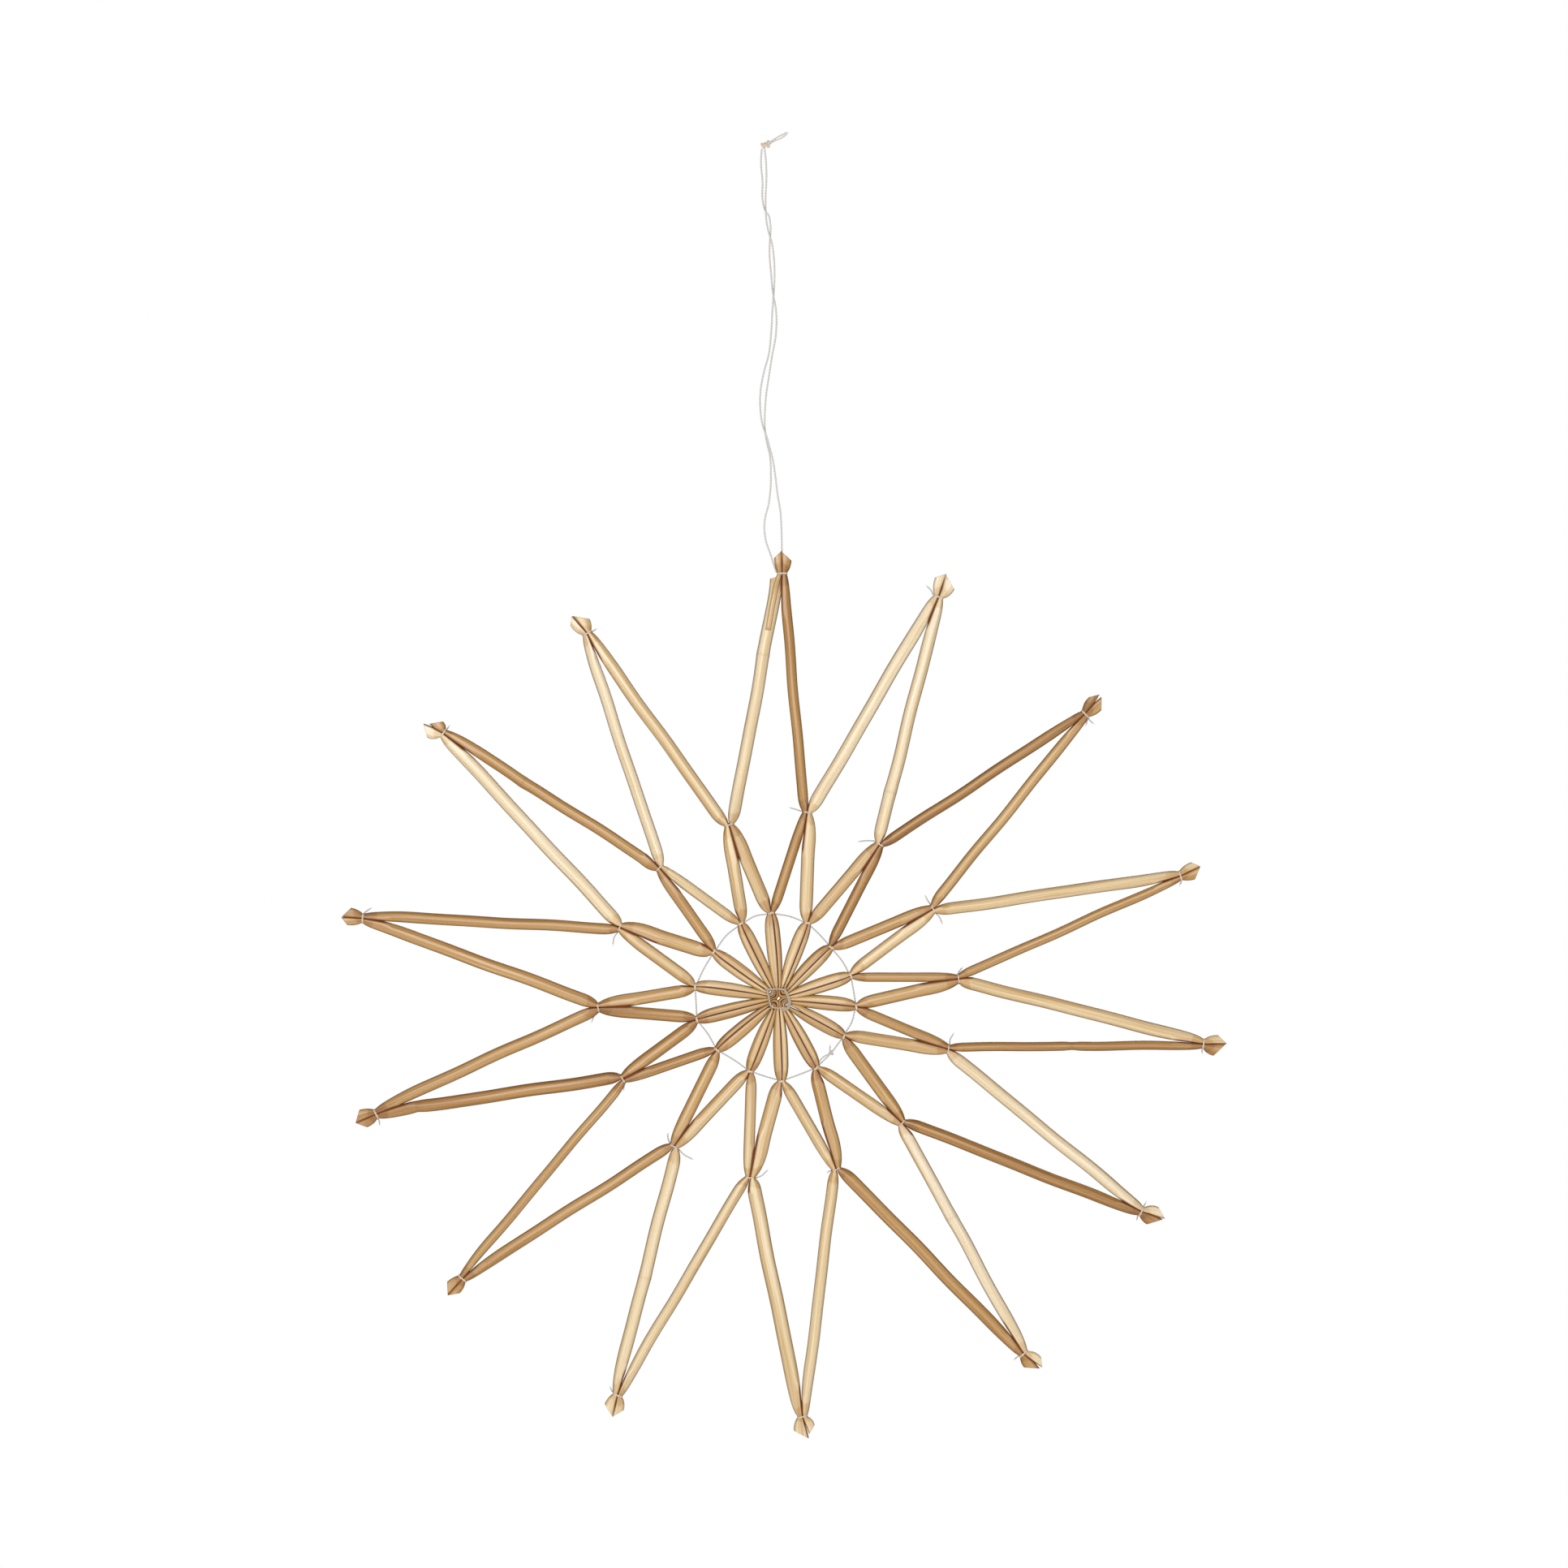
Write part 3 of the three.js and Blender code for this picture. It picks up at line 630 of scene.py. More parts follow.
def tied_run(start, start_side, start_growth, end, end_side, end_growth, width, tones,
             stand_offs=(STAND_OFF, STAND_OFF), shift=0.0, start_roundness=ARM_ROUNDNESS):
    """A straw from one tie straight to the next, its full width between the growths at both ends."""
    length = np.linalg.norm(end.centre - start.centre)
    distance = np.linspace(0, length, int(length / STEP))
    share = swell(distance, start_growth, start_roundness)
    share = share * swell(length - distance, end_growth, ARM_ROUNDNESS)
    neck = np.interp(distance, [0, length], [start.neck, end.neck])
    wide = neck + (width - neck) * share
    deep = NECK_DEPTH + (ARM_DEPTH - NECK_DEPTH) * share
    nearness = (1 - distance / length)[:, None]
    at = start.centre + (end.centre - start.centre) * (1 - nearness)
    at = at + stood_off(start, start_side, distance, start_growth, width, stand_offs[0]) * nearness
    end_off = stood_off(end, end_side, length - distance, end_growth, width, stand_offs[1])
    at = at + end_off * (1 - nearness)
    lean = np.outer(shift * swell(distance, start_growth), start.across) * nearness
    along = unit(end.centre - start.centre)
    at, start_touch = pushed(at, wide * abs(along @ start.axis), start, start_side)
    at = at + lean
    at, end_touch = pushed(at, wide * abs(along @ end.axis), end, end_side)
    crush = np.exp(-distance / CRUSH_REACH) + np.exp(-(length - distance) / CRUSH_REACH)
    touch = np.where(distance < length / 2, start_touch * start_side, end_touch * end_side)
    tone = np.interp(distance, [0, length], tones)
    return run_of(at, wide, deep, touch=touch, crush=crush, tone=tone), distance


ARM_TABLES = (WIDTHS, TONES, STAND_OFFS, INNER_WIDTHS, INNER_TONES, PETAL_TONES, PAINTED_HIGHLIGHTS)
Arm = namedtuple(
    "Arm", "petal side width tone stand_off inner_width inner_tone petal_tone rib tip mid inner"
)


def arm_of(k):
    """Arms 2i and 2i + 1 are the left and right straw of petal i."""
    petal, side = k // 2, RIGHT if k % 2 else LEFT
    mid = mids[petal] if side == RIGHT else mids[petal - 1]
    return Arm(petal, side, *(table[side][petal] for table in ARM_TABLES), tips[petal], mid, inners[petal])


arms = [arm_of(k) for k in range(2 * PETALS)]
short_arm = arms[0]
ARM_WAVES = [(37, 0.1), (61, 0.16)]


def arm_run(arm):
    """One arm from its tip tie inwards to its inner tie, wavy by two slow sine waves."""
    outer, distance = tied_run(
        arm.tip, arm.side, TIP_GROWTH, arm.mid, -arm.side, MID_OUTER_GROWTH, arm.width, [arm.tone] * 2,
        (STAND_OFF, arm.stand_off), TIP_SHIFTS[arm.petal], TIP_ROUNDNESS,
    )
    across = quarter_turn(unit(arm.mid.centre - arm.tip.centre))
    calm = 1 - np.clip(outer["crush"], 0, 1)
    for wave, height in ARM_WAVES:
        phase = rng.uniform(0, 2 * np.pi)
        outer["at"] += np.outer(calm * height * np.sin(distance / wave * 2 * np.pi + phase), across)
    for petal, side, place, shift, change in JOINTS:
        if (petal, side) == (arm.petal, arm.side):
            bend = shift * np.clip(1 - np.abs(distance - place) / BEND_REACH, 0, 1) ** 2
            outer["at"] += np.outer(bend, across)
            outer["wide"] = outer["wide"] * (1 + change * bell(distance - place, WAIST_REACH))
            outer["shade"] = LINE_SHADE * bell(distance - place, LINE_REACH)
    inner, _ = tied_run(
        arm.mid, -arm.side, MID_INNER_GROWTH, arm.inner, arm.side, INNER_GROWTH, arm.inner_width,
        [arm.inner_tone, (arm.inner_tone + arm.petal_tone) / 2],
    )
    return chained([outer, inner])


# Binding posts at the corners of a square, and the straws that turn round each of them

def post_radius():
    """How far the posts are from the middle: half the binding's width is that times the cosine of the
    first post's angle, plus half a thread."""
    low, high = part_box("centre_binding")
    half = (high.x - low.x) / 2 / MM
    return (half - THREAD / 2) / math.cos(math.radians(CORE_TURN))


POST_RADIUS = post_radius()
FIRST_TURN = THREAD / 2 + CORE_WIDTH / 2 - 0.1
QUARTER = len(arms) // 4
Post = namedtuple("Post", "at first_arm turns")


def post_of(corner):
    """A post, the last arm before it, and how many straws turn round it: three and four by turns."""
    at = ray(CORE_TURN + 90 * corner) * POST_RADIUS + np.array(HUB)
    return Post(at, QUARTER // 2 + corner * QUARTER, QUARTER // 2 + corner % 2)


posts = [post_of(corner) for corner in range(4)]


def leave_post(arm, post, hand, turn):
    """Where an arm leaves the circle round its post, on the tangent to its inner tie."""
    target = arm.inner.centre + arm.inner.across * arm.side * (INNER_NECK + PAIR_GAP) / 2
    direct = target - post.at
    lean = hand * math.asin(turn / np.linalg.norm(direct))
    x, y = unit(direct)
    along = np.array([x * math.cos(lean) - y * math.sin(lean), x * math.sin(lean) + y * math.cos(lean)])
    return post.at + quarter_turn(along) * hand * turn


def petal_run(arm, start, other_start):
    """One straw of a petal from the binding out to the inner tie, a long taper with round shoulders."""
    root = (start + other_start) / 2
    axis = unit(arm.inner.centre - root)
    across = quarter_turn(axis)
    end = arm.inner.centre + arm.inner.across * arm.side * (INNER_NECK + PAIR_GAP) / 2
    length = np.linalg.norm(end - start)
    distance = np.linspace(0, length, int(length / STEP))
    taper = np.sin(np.clip(distance / length / PETAL_SWELL, 0, 1) * np.pi / 2) ** ROOT_ROUNDNESS
    close = swell(length - distance, PETAL_GROWTH, PETAL_ROUNDNESS)
    seam = SEAM_SHIFTS[arm.petal]
    full = PETAL_WIDTH - arm.side * seam
    wide = INNER_NECK + (CORE_WIDTH + (full - CORE_WIDTH) * taper - INNER_NECK) * close
    deep = NECK_DEPTH + (CORE_DEPTH + (PETAL_DEPTH - CORE_DEPTH) * taper - NECK_DEPTH) * close
    at = start + np.outer(distance / length, end - start)
    petal, side, place, shift = KINK
    if (petal, side) == (arm.petal, arm.side):
        at = at + np.outer(shift * side * bell(distance - place, KINK_WIDTH), across)
    at, touch = pushed(at, wide, Tie(root, axis, across, CORE_WIDTH), arm.side)
    bow = taper * close
    at = at + np.outer((seam + PETAL_SHIFTS[arm.petal]) * bow, across)
    crush = np.exp(-(length - distance) / CRUSH_REACH) + CORE_CRUSH * (1 - taper)
    touch = -touch * arm.side
    return run_of(at, wide, deep, touch=touch, crush=crush, tone=arm.petal_tone, rib=arm.rib * bow)


def turn_run(before, start, after, end, post, turn):
    """Arc round a post on the side of the star's centre, which bulges inwards by the square of half a sine
    wave, the more the farther out its turn is."""
    outermost = FIRST_TURN + (post.turns - 1) * CORE_PITCH
    bulge = (CORE_REACH - outermost) * turn / outermost
    first = math.atan2(*(start - post.at)[::-1])
    sweep = (math.atan2(*(end - post.at)[::-1]) - first) % (2 * math.pi)
    share = np.linspace(0, 1, 2 + int(turn * sweep / STEP))[1:-1]
    angle = first + sweep * share
    inwards = np.sin(np.pi * share) ** 2
    reach = turn + bulge * inwards
    at = post.at + np.stack([np.cos(angle), np.sin(angle)], axis=-1) * reach[:, None]
    tone = before.petal_tone + (after.petal_tone - before.petal_tone) * share
    wide = CORE_WIDTH + TURN_LAP * bulge / post.turns * inwards
    return run_of(at, wide, np.full(len(at), float(CORE_DEPTH)), tone=tone, crush=CORE_CRUSH)


def tip_run(arm, tone):
    """One half of a spear-shaped tip, from its tie out to the slanting cut.

    Its rings reach from the seam to the outer edge. The seam runs from the tie's middle along the line
    that both halves share and parts from it towards its own apex. The edge's distance still to go to the
    corner falls as a power of the share of the way that is left.
    """
    cuts = np.array(TIP_CUTS[arm.petal])
    apex, corner = cuts[:2] if arm.side == LEFT else cuts[2:]
    meeting = (cuts[0] + cuts[2]) / 2
    share = np.linspace(0, 1, int(apex[1] / STEP))
    spread = 1 - (1 - share) ** TIP_FLARE
    neck = arm.side * arm.tip.neck
    seam_across = meeting[0] * share + (apex[0] - meeting[0]) * share**TIP_PARTING
    seam = np.stack([seam_across - arm.side * TIP_LAP / 2 * (1 - share), apex[1] * share], axis=-1)
    edge = np.stack([neck + (corner[0] - neck) * spread, corner[1] * share], axis=-1)
    middle = (seam + edge) / 2
    span = (edge - seam) * arm.side
    along = unit(middle[-1] - middle[0])
    wide = span @ quarter_turn(along)
    deep = TIP_DEPTH + (NECK_DEPTH - TIP_DEPTH) * (1 - share) ** 2 + TIP_OPENING * share**4
    at = arm.tip.centre + middle @ np.stack([arm.tip.across, arm.tip.axis])
    return run_of(
        at, wide, deep, touch=-arm.side * (1 - 0.5 * share), crush=0.25 + 0.6 * (1 - share) ** 2,
        slant=span @ along / wide, tone=tone,
    )


def short_run():
    """The straw that ends short of the first tip's tie, which so doesn't narrow it: it starts flat and
    behind the strip."""
    run = arm_run(short_arm)
    distance = np.linalg.norm(run["at"] - short_arm.tip.centre, axis=1)
    kept = {name: run[name][distance > SHORT_END] for name in FIELDS}
    distance = distance[distance > SHORT_END]
    inwards = distance - SHORT_END
    near = np.clip(1 - inwards / SHORT_EASE, 0, 1)
    near = near * near * (3 - 2 * near)
    shift = SHORT_SHIFT * np.clip(1 - distance / SHORT_SHIFT_REACH, 0, 1)
    shift = shift + SHORT_END_SHIFT * np.exp(-inwards / SHORT_END_REACH)
    kept["at"] += np.outer(short_arm.side * shift, short_arm.tip.across)
    full = np.maximum(kept["wide"], SHORT_FULL_WIDTH)
    kept["wide"] = np.where(distance < SHORT_FULL_REACH, full, kept["wide"])
    kept["deep"] = kept["deep"] * (1 - SHORT_FLATTENING * near)
    kept["back"] = SHORT_BACK * near
    kept["slant"] = SHORT_END_SLANT * np.exp(-inwards / SHORT_SLANT_REACH)
    return kept


def softened(values, smoothing=SMOOTHING):
    """Values along a straw smoothed by a bell curve, with both ends kept in place."""
    reach = int(4 * smoothing)
    kernel = np.exp(-((np.arange(-reach, reach + 1) / smoothing) ** 2) / 2)
    kernel /= kernel.sum()
    columns = values.reshape(len(values), -1)
    start = 2 * columns[:1] - columns[reach:0:-1]
    end = 2 * columns[-1:] - columns[-2:-reach - 2:-1]
    padded = np.concatenate([start, columns, end])
    smooth = np.stack([np.convolve(c, kernel, mode="valid") for c in padded.T], axis=-1)
    return smooth.reshape(values.shape)


def thinned(run):
    """Every sample near ties, in the petals and at joints, and every fourth along the plain stretches."""
    weight = np.where((run["crush"] > PLAIN_CRUSH) | (run["shade"] > PLAIN_SHADE), 1, 1 / LONG_STEPS)
    steps = np.floor(np.cumsum(weight) + 1e-9)
    keep = np.flatnonzero(np.diff(steps, prepend=-1) > 0)
    keep = np.union1d(keep, [0, len(steps) - 1])
    return {name: run[name][keep] for name in FIELDS}


CREASES = 3
CREASE_WIDTH = 0.3
CREASE_DEPTH = 0.13
CREASE_SHADE = 0.35
FLATNESS = 3.0
SEAM_START = 0.5
NEST_SHADE = 0.8
# Painted highlight stripe beside the seam, on front and back: its place towards the other straw, and its
# width
HIGHLIGHT_PLACE = 0.42
HIGHLIGHT_WIDTH = 0.2
FIBRE_RADIUS = 2.2
GRAIN_SHIFT = 1000


def straw_rings(run, seed):
    """Rings of a straw across its way, and their point fields.

    A ring is an oval whose side towards the other straw of a pair has a higher power, so that it is
    flatter. Bell-shaped creases, which drift slowly round it, are pressed in near the ties. Painted shade
    deepens towards the other straw, at the edges of tall nested straws and in the creases.
    """
    draws = np.random.default_rng(seed)
    along = unit(np.gradient(run["at"], axis=0))
    across = quarter_turn(along)
    column = {name: run[name][:, None] for name in FIELDS if name != "at"}
    wide, deep, touch = column["wide"], column["deep"], column["touch"]
    turn = (np.arange(STRAW_SIDES)[None, :] + 0.5) * 2 * np.pi / STRAW_SIDES
    cosine, sine = np.cos(turn), np.sin(turn)
    facing = np.clip(cosine * touch, 0, 1)
    toward = cosine * np.sign(touch)
    power = 2 / (2 + FLATNESS * np.where(facing > 0, np.abs(touch), 0))
    length = lengths_along(run["at"])[:, None]
    press = np.clip(column["crush"], 0, 1) ** 0.7
    groove = np.zeros((len(along), STRAW_SIDES))
    for _ in range(CREASES):
        place = draws.uniform(0, 2 * np.pi)
        place = place + 0.35 * np.sin(length / draws.uniform(15, 40) + draws.uniform(0, 6))
        apart = (turn - place + np.pi) % (2 * np.pi) - np.pi
        groove = groove + bell(apart, CREASE_WIDTH)
    size = 1 - CREASE_DEPTH * press * groove
    x = wide / 2 * np.sign(cosine) * np.abs(cosine) ** power
    y = deep / 2 * np.sign(sine) * np.abs(sine) ** power * size + column["back"]
    plane = run["at"][:, None] + across[:, None] * x[..., None]
    rings = in_space(plane + along[:, None] * (column["slant"] * x)[..., None], y)
    upright = np.clip((deep / wide - 1) / 0.6, 0, 1)
    nested = np.clip((deep / wide - 2.2) / 1.5, 0, 1)
    # Painted shade towards the other straw, on the edges of tall nested straws and in the creases
    shade = np.clip(facing / SEAM_START, 0, 1) ** 3 + NEST_SHADE * nested * cosine**4
    shade = shade + CREASE_SHADE * press * np.clip(groove, 0, 1) ** 2 + column["shade"]
    fields = {
        "tone": np.broadcast_to(column["tone"], x.shape),
        "crush": np.broadcast_to(press, x.shape),
        "shade": np.clip(shade, 0, 1),
        # Painted shade that darkens the flanks towards the edges
        "edge": np.abs(cosine) ** (6 - 3.5 * upright),
        # Painted highlight stripe beside the seam
        "rib": column["rib"] * bell(toward - HIGHLIGHT_PLACE, HIGHLIGHT_WIDTH),
        "fibre": MM * np.stack(np.broadcast_arrays(
            FIBRE_RADIUS * cosine, FIBRE_RADIUS * sine, length + GRAIN_SHIFT * seed,
        ), axis=-1),
    }
    return rings, fields


HOLLOW_STEPS = (0, 2, 5, 8)
INNER_SHADES = (0.25, 0.8, 1, 1)


def hollow_end(rings, fields, run, places):
    """Rings just inside a straw's cut end, its wall's thickness in from the ones at those places."""
    chosen = rings[places]
    middle = chosen.mean(axis=1, keepdims=True)
    shrink = np.clip(1 - 2 * STRAW_WALL / np.minimum(run["wide"], run["deep"])[places], 0.1, 1)
    inside = middle + (chosen - middle) * shrink[:, None, None]
    inner_fields = {name: field[places].copy() for name, field in fields.items()}
    inner_fields["shade"] = np.broadcast_to(np.array(INNER_SHADES)[:, None], inner_fields["shade"].shape)
    return inside, inner_fields


def straw_tube(run, seed):
    """A straw's tube, cut open and hollow at both ends."""
    sizes = {name: softened(run[name]) for name in ("wide", "deep", "back")}
    thin = thinned(dict(run, at=softened(run["at"], WAY_SMOOTHING), **sizes))
    rings, fields = straw_rings(thin, seed)
    steps = np.array(HOLLOW_STEPS)
    start_rings, start_fields = hollow_end(rings, fields, thin, steps)
    end_rings, end_fields = hollow_end(rings, fields, thin, -1 - steps)
    rings = np.concatenate([start_rings[::-1], rings, end_rings])
    fields = {
        name: np.concatenate([start_fields[name][::-1], fields[name], end_fields[name]]) for name in fields
    }
    return tube(rings, fields)


def straw_pairs():
    """Each whole straw: the arms at its two ends, its post and the radius of its turn, tightest first."""
    for post in posts:
        for j in range(post.turns):
            before = arms[(post.first_arm - j) % len(arms)]
            after = arms[(post.first_arm + 1 + j) % len(arms)]
            yield before, after, post, FIRST_TURN + j * CORE_PITCH


straw_list = list(straw_pairs())
starts = {}
for before, after, post, turn in straw_list:
    starts[before.petal, before.side] = leave_post(before, post, LEFT, turn)
    starts[after.petal, after.side] = leave_post(after, post, RIGHT, turn)


def half_straw(arm):
    """From the cut tip inwards to the binding."""
    start = starts[arm.petal, arm.side]
    other = starts[arm.petal, -arm.side]
    petal = backwards(petal_run(arm, start, other))
    if arm is short_arm:
        return chained([short_run(), petal])
    return chained([backwards(tip_run(arm, arm.tone)), arm_run(arm), petal])


def whole_straw(before, after, post, turn):
    """From one cut tip in to the binding, round its post, and out to the other tip."""
    start = starts[before.petal, before.side]
    end = starts[after.petal, after.side]
    return chained([
        half_straw(before),
        turn_run(before, start, after, end, post, turn),
        backwards(half_straw(after)),
    ])


def splice_run():
    """The strip from the first tip's cut, through the tie, and down the front of the short straw."""
    tie = short_arm.tip
    way = smooth_line(SPLICE_WAY, STEP)
    at = tie.centre + np.outer(way[:, 0], tie.across) + np.outer(way[:, 1], tie.axis)
    distance = -way[:, 1]
    share = swell(distance, SPLICE_GROWTH)
    wide = TIP_NECK + (SPLICE_WIDTH - TIP_NECK) * share
    deep = SPLICE_DEPTH + (NECK_DEPTH - SPLICE_DEPTH) * (1 - share) ** 2
    back = -(ARM_DEPTH / 2 + 0.15) * swell(distance, SPLICE_RISE)
    strip = run_of(at, wide, deep, crush=0.6 * (1 - share), back=back, tone=STRIP_TONE)
    return chained([backwards(tip_run(short_arm, STRIP_TONE)), strip])


# Node trees

def linear(red, green, blue):
    """A colour from its screen values, 0 to 255, in linear light."""
    screen = np.array([red, green, blue]) / 255
    light = np.where(screen <= 0.04045, screen / 12.92, ((screen + 0.055) / 1.055) ** 2.4)
    return (*light.tolist(), 1.0)


def add_node(tree, kind, inputs=(), **settings):
    """A node of a kind, with its settings, and its inputs set to values or linked to sockets."""
    made = tree.nodes.new(kind)
    for name, value in settings.items():
        setattr(made, name, value)
    for key, value in dict(inputs).items():
        if isinstance(value, bpy.types.NodeSocket):
            tree.links.new(value, made.inputs[key])
        else:
            made.inputs[key].default_value = value
    return made


def math_of(tree, operation, *values):
    return add_node(tree, "ShaderNodeMath", dict(enumerate(values)), operation=operation).outputs[0]


def weighed(tree, start, *parts):
    """A start plus each part's value times its weight."""
    for value, weight in parts:
        start = math_of(tree, "ADD", start, math_of(tree, "MULTIPLY", value, weight))
    return start


def attribute(tree, name, output="Fac"):
    return add_node(tree, "ShaderNodeAttribute", attribute_name=name).outputs[output]


def make_grain_group():
    """Noise drawn out along fibres: so many changes to the metre across them and along them."""
    group = bpy.data.node_groups.new("fibre_grain", "ShaderNodeTree")
    sockets = {"Fibre": "NodeSocketVector", "Across": "NodeSocketFloat", "Along": "NodeSocketFloat"}
    for name, kind in sockets.items():
        group.interface.new_socket(name, in_out="INPUT", socket_type=kind)
    group.interface.new_socket("Grain", in_out="OUTPUT", socket_type="NodeSocketFloat")
    inside = group.nodes.new("NodeGroupInput").outputs
    stretch = add_node(
        group, "ShaderNodeCombineXYZ", {"X": inside["Across"], "Y": inside["Across"], "Z": inside["Along"]}
    )
    place = add_node(
        group, "ShaderNodeVectorMath", {0: inside["Fibre"], 1: stretch.outputs[0]}, operation="MULTIPLY"
    )
    noise = add_node(
        group, "ShaderNodeTexNoise",
        {"Vector": place.outputs[0], "Scale": 1.0, "Detail": 2.0, "Roughness": 0.55},
    )
    add_node(group, "NodeGroupOutput", {"Grain": noise.outputs["Fac"]})
    return group


grain_group = make_grain_group()


def grain(tree, across, along):
    inputs = {"Fibre": attribute(tree, "fibre", "Vector"), "Across": across, "Along": along}
    return add_node(tree, "ShaderNodeGroup", inputs, node_tree=grain_group).outputs["Grain"]


def mixed(tree, factor, first, second, blend="MIX"):
    """Two colours mixed by a factor. A Mix node's sockets 6, 7 and 2 are its colours in and out."""
    inputs = {0: factor, 6: first, 7: second}
    return add_node(tree, "ShaderNodeMix", inputs, data_type="RGBA", blend_type=blend).outputs[2]


def ramp(tree, value, stops):
    made = add_node(tree, "ShaderNodeValToRGB", {"Fac": value})
    elements = made.color_ramp.elements
    while len(elements) < len(stops):
        elements.new(0.5)
    for element, (place, colour) in zip(elements, stops):
        element.position = place
        element.color = colour
    return made.outputs["Color"]


def new_material(name):
    material = bpy.data.materials.new(name)
    material.use_nodes = True
    tree = material.node_tree
    return material, tree, tree.nodes["Principled BSDF"]


def bumped(tree, shader, height, distance):
    bump = add_node(tree, "ShaderNodeBump", {"Height": height, "Strength": BUMP, "Distance": distance * MM})
    tree.links.new(bump.outputs["Normal"], shader.inputs["Normal"])


# Colours from pale straw to dark, of the painted shade on its edges, of the painted highlight stripe beside
# a seam, and of the painted shade in seams and creases
STRAW_TONES = [
    (0.0, linear(246, 230, 202)),
    (0.24, linear(230, 205, 160)),
    (0.5, linear(206, 167, 109)),
    (0.8, linear(178, 130, 68)),
    (1.0, linear(150, 102, 44)),
]
PAINTED_EDGE_SHADE = linear(158, 134, 106)
PAINTED_HIGHLIGHT_COLOUR = linear(250, 234, 202)
PAINTED_SHADE_COLOUR = linear(118, 62, 8)

# Cotton from white through a pinkish cream, which is painted light bounced from the straws, to a darker
# beige, its fibres, and the painted shade between its plies
THREAD_TONES = [
    (0.0, linear(232, 230, 225)),
    (0.3, linear(240, 218, 194)),
    (1.0, linear(180, 158, 130)),
]
FIBRE_COLOUR = linear(200, 194, 184)
PAINTED_THREAD_SHADE = linear(128, 122, 114)

# Changes to the metre across the fibres and along them
BROAD_STREAKS = (700, 9)
FINE_STREAKS = (2100, 20)
COTTON_FIBRES = (5200, 1500)

# How strongly the streaks change the tone, their mean, and how much darker the patch beside a tie
# is, and how strong the bumps are
BROAD_TONE = 0.7
FINE_TONE = 0.9
STREAK_MEAN = 0.8
PATCH_DARKNESS = 0.2
BUMP = 0.6


def straw_material():
    """Cut straw: long fibre streaks in its own tone, a darker patch beside each tie, satin and bumped along
    its streaks, with painted shade on its edges and in its seams and creases, and a painted highlight stripe
    beside each seam.
    """
    material, tree, shader = new_material("straw")
    broad, fine = grain(tree, *BROAD_STREAKS), grain(tree, *FINE_STREAKS)
    shade = attribute(tree, "shade")
    place = add_node(tree, "ShaderNodeTexCoord").outputs["Object"]
    cloud = add_node(tree, "ShaderNodeTexNoise", {"Vector": place, "Scale": 160.0, "Detail": 3.0})
    reach = weighed(tree, attribute(tree, "crush"), (cloud.outputs["Fac"], 0.6))
    patch = add_node(
        tree, "ShaderNodeMapRange",
        {"Value": reach, "From Min": 0.82, "From Max": 0.94, "To Max": PATCH_DARKNESS},
        interpolation_type="SMOOTHSTEP",
    ).outputs[0]
    level = weighed(tree, attribute(tree, "tone"), (broad, BROAD_TONE), (fine, FINE_TONE))
    level = math_of(tree, "ADD", level, math_of(tree, "SUBTRACT", patch, STREAK_MEAN))
    colour = ramp(tree, math_of(tree, "DIVIDE", level, TONE_RANGE), STRAW_TONES)
    # Painted shade on the flanks towards the edges
    colour = mixed(tree, attribute(tree, "edge"), colour, PAINTED_EDGE_SHADE, "MULTIPLY")
    # Painted highlight stripe beside the seam
    colour = mixed(tree, attribute(tree, "rib"), colour, PAINTED_HIGHLIGHT_COLOUR)
    # Painted shade in the seams, creases, on nested edges and inside the cut ends, and the lines at joints
    tree.links.new(mixed(tree, shade, colour, PAINTED_SHADE_COLOUR), shader.inputs["Base Color"])
    tree.links.new(weighed(tree, 0.3, (fine, 0.22), (shade, 0.45)), shader.inputs["Roughness"])
    shader.inputs["Specular IOR Level"].default_value = 0.65
    bumped(tree, shader, weighed(tree, 0.0, (broad, 0.7), (fine, 0.5)), 0.16)
    return material


def thread_material():
    """Cotton thread: off-white and matt, with painted shade between its two plies, with short fibres."""
    material, tree, shader = new_material("thread")
    fuzz = grain(tree, *COTTON_FIBRES)
    # Painted shade between the plies and on the thin spans and tails
    painted_shade_share = math_of(tree, "MULTIPLY", attribute(tree, "shade"), 0.5)
    colour = ramp(tree, attribute(tree, "tone"), THREAD_TONES)
    colour = mixed(tree, math_of(tree, "MULTIPLY", fuzz, 0.25), colour, FIBRE_COLOUR)
    tree.links.new(mixed(tree, painted_shade_share, colour, PAINTED_THREAD_SHADE), shader.inputs["Base Color"])
    tree.links.new(weighed(tree, 0.75, (fuzz, 0.2)), shader.inputs["Roughness"])
    bumped(tree, shader, fuzz, 0.06)
    return material


straw_finish = straw_material()
thread_finish = thread_material()


# Camera

def set_camera():
    camera = placed("camera", bpy.data.cameras.new("camera"))
    camera.data.lens = LENS
    camera.data.sensor_width = SENSOR
    distance = PICTURE_WIDTH * LENS / SENSOR
    camera.location = Vector((PICTURE_MIDDLE[0], -distance, PICTURE_MIDDLE[1])) * MM
    camera.rotation_euler = (math.pi / 2, 0, 0)
    bpy.context.scene.camera = camera


set_camera()


# Hanging loop

# How far the loop knot's thread goes along the thread's colour ramp
KNOT_TINT = 0.25

# The knot's two turns, with their middle and size, and its two tails
FIRST_KNOT = (0.3, 0, 1.5)
FIRST_KNOT_SIZE = 2.4
SECOND_KNOT = (1.9, 0, 2)
SECOND_KNOT_SIZE = 2.9
TAIL_WAYS = [
    [(2.2, -0.2, 2.2), (5, -0.3, 4.1), (7.4, 0.1, 5.6), (10.2, 0.2, 7)],
    [(2.4, 0.3, 1.9), (5.4, 0.5, 3.6), (8, 0.2, 4.6), (10.9, -0.3, 6.6)],
]


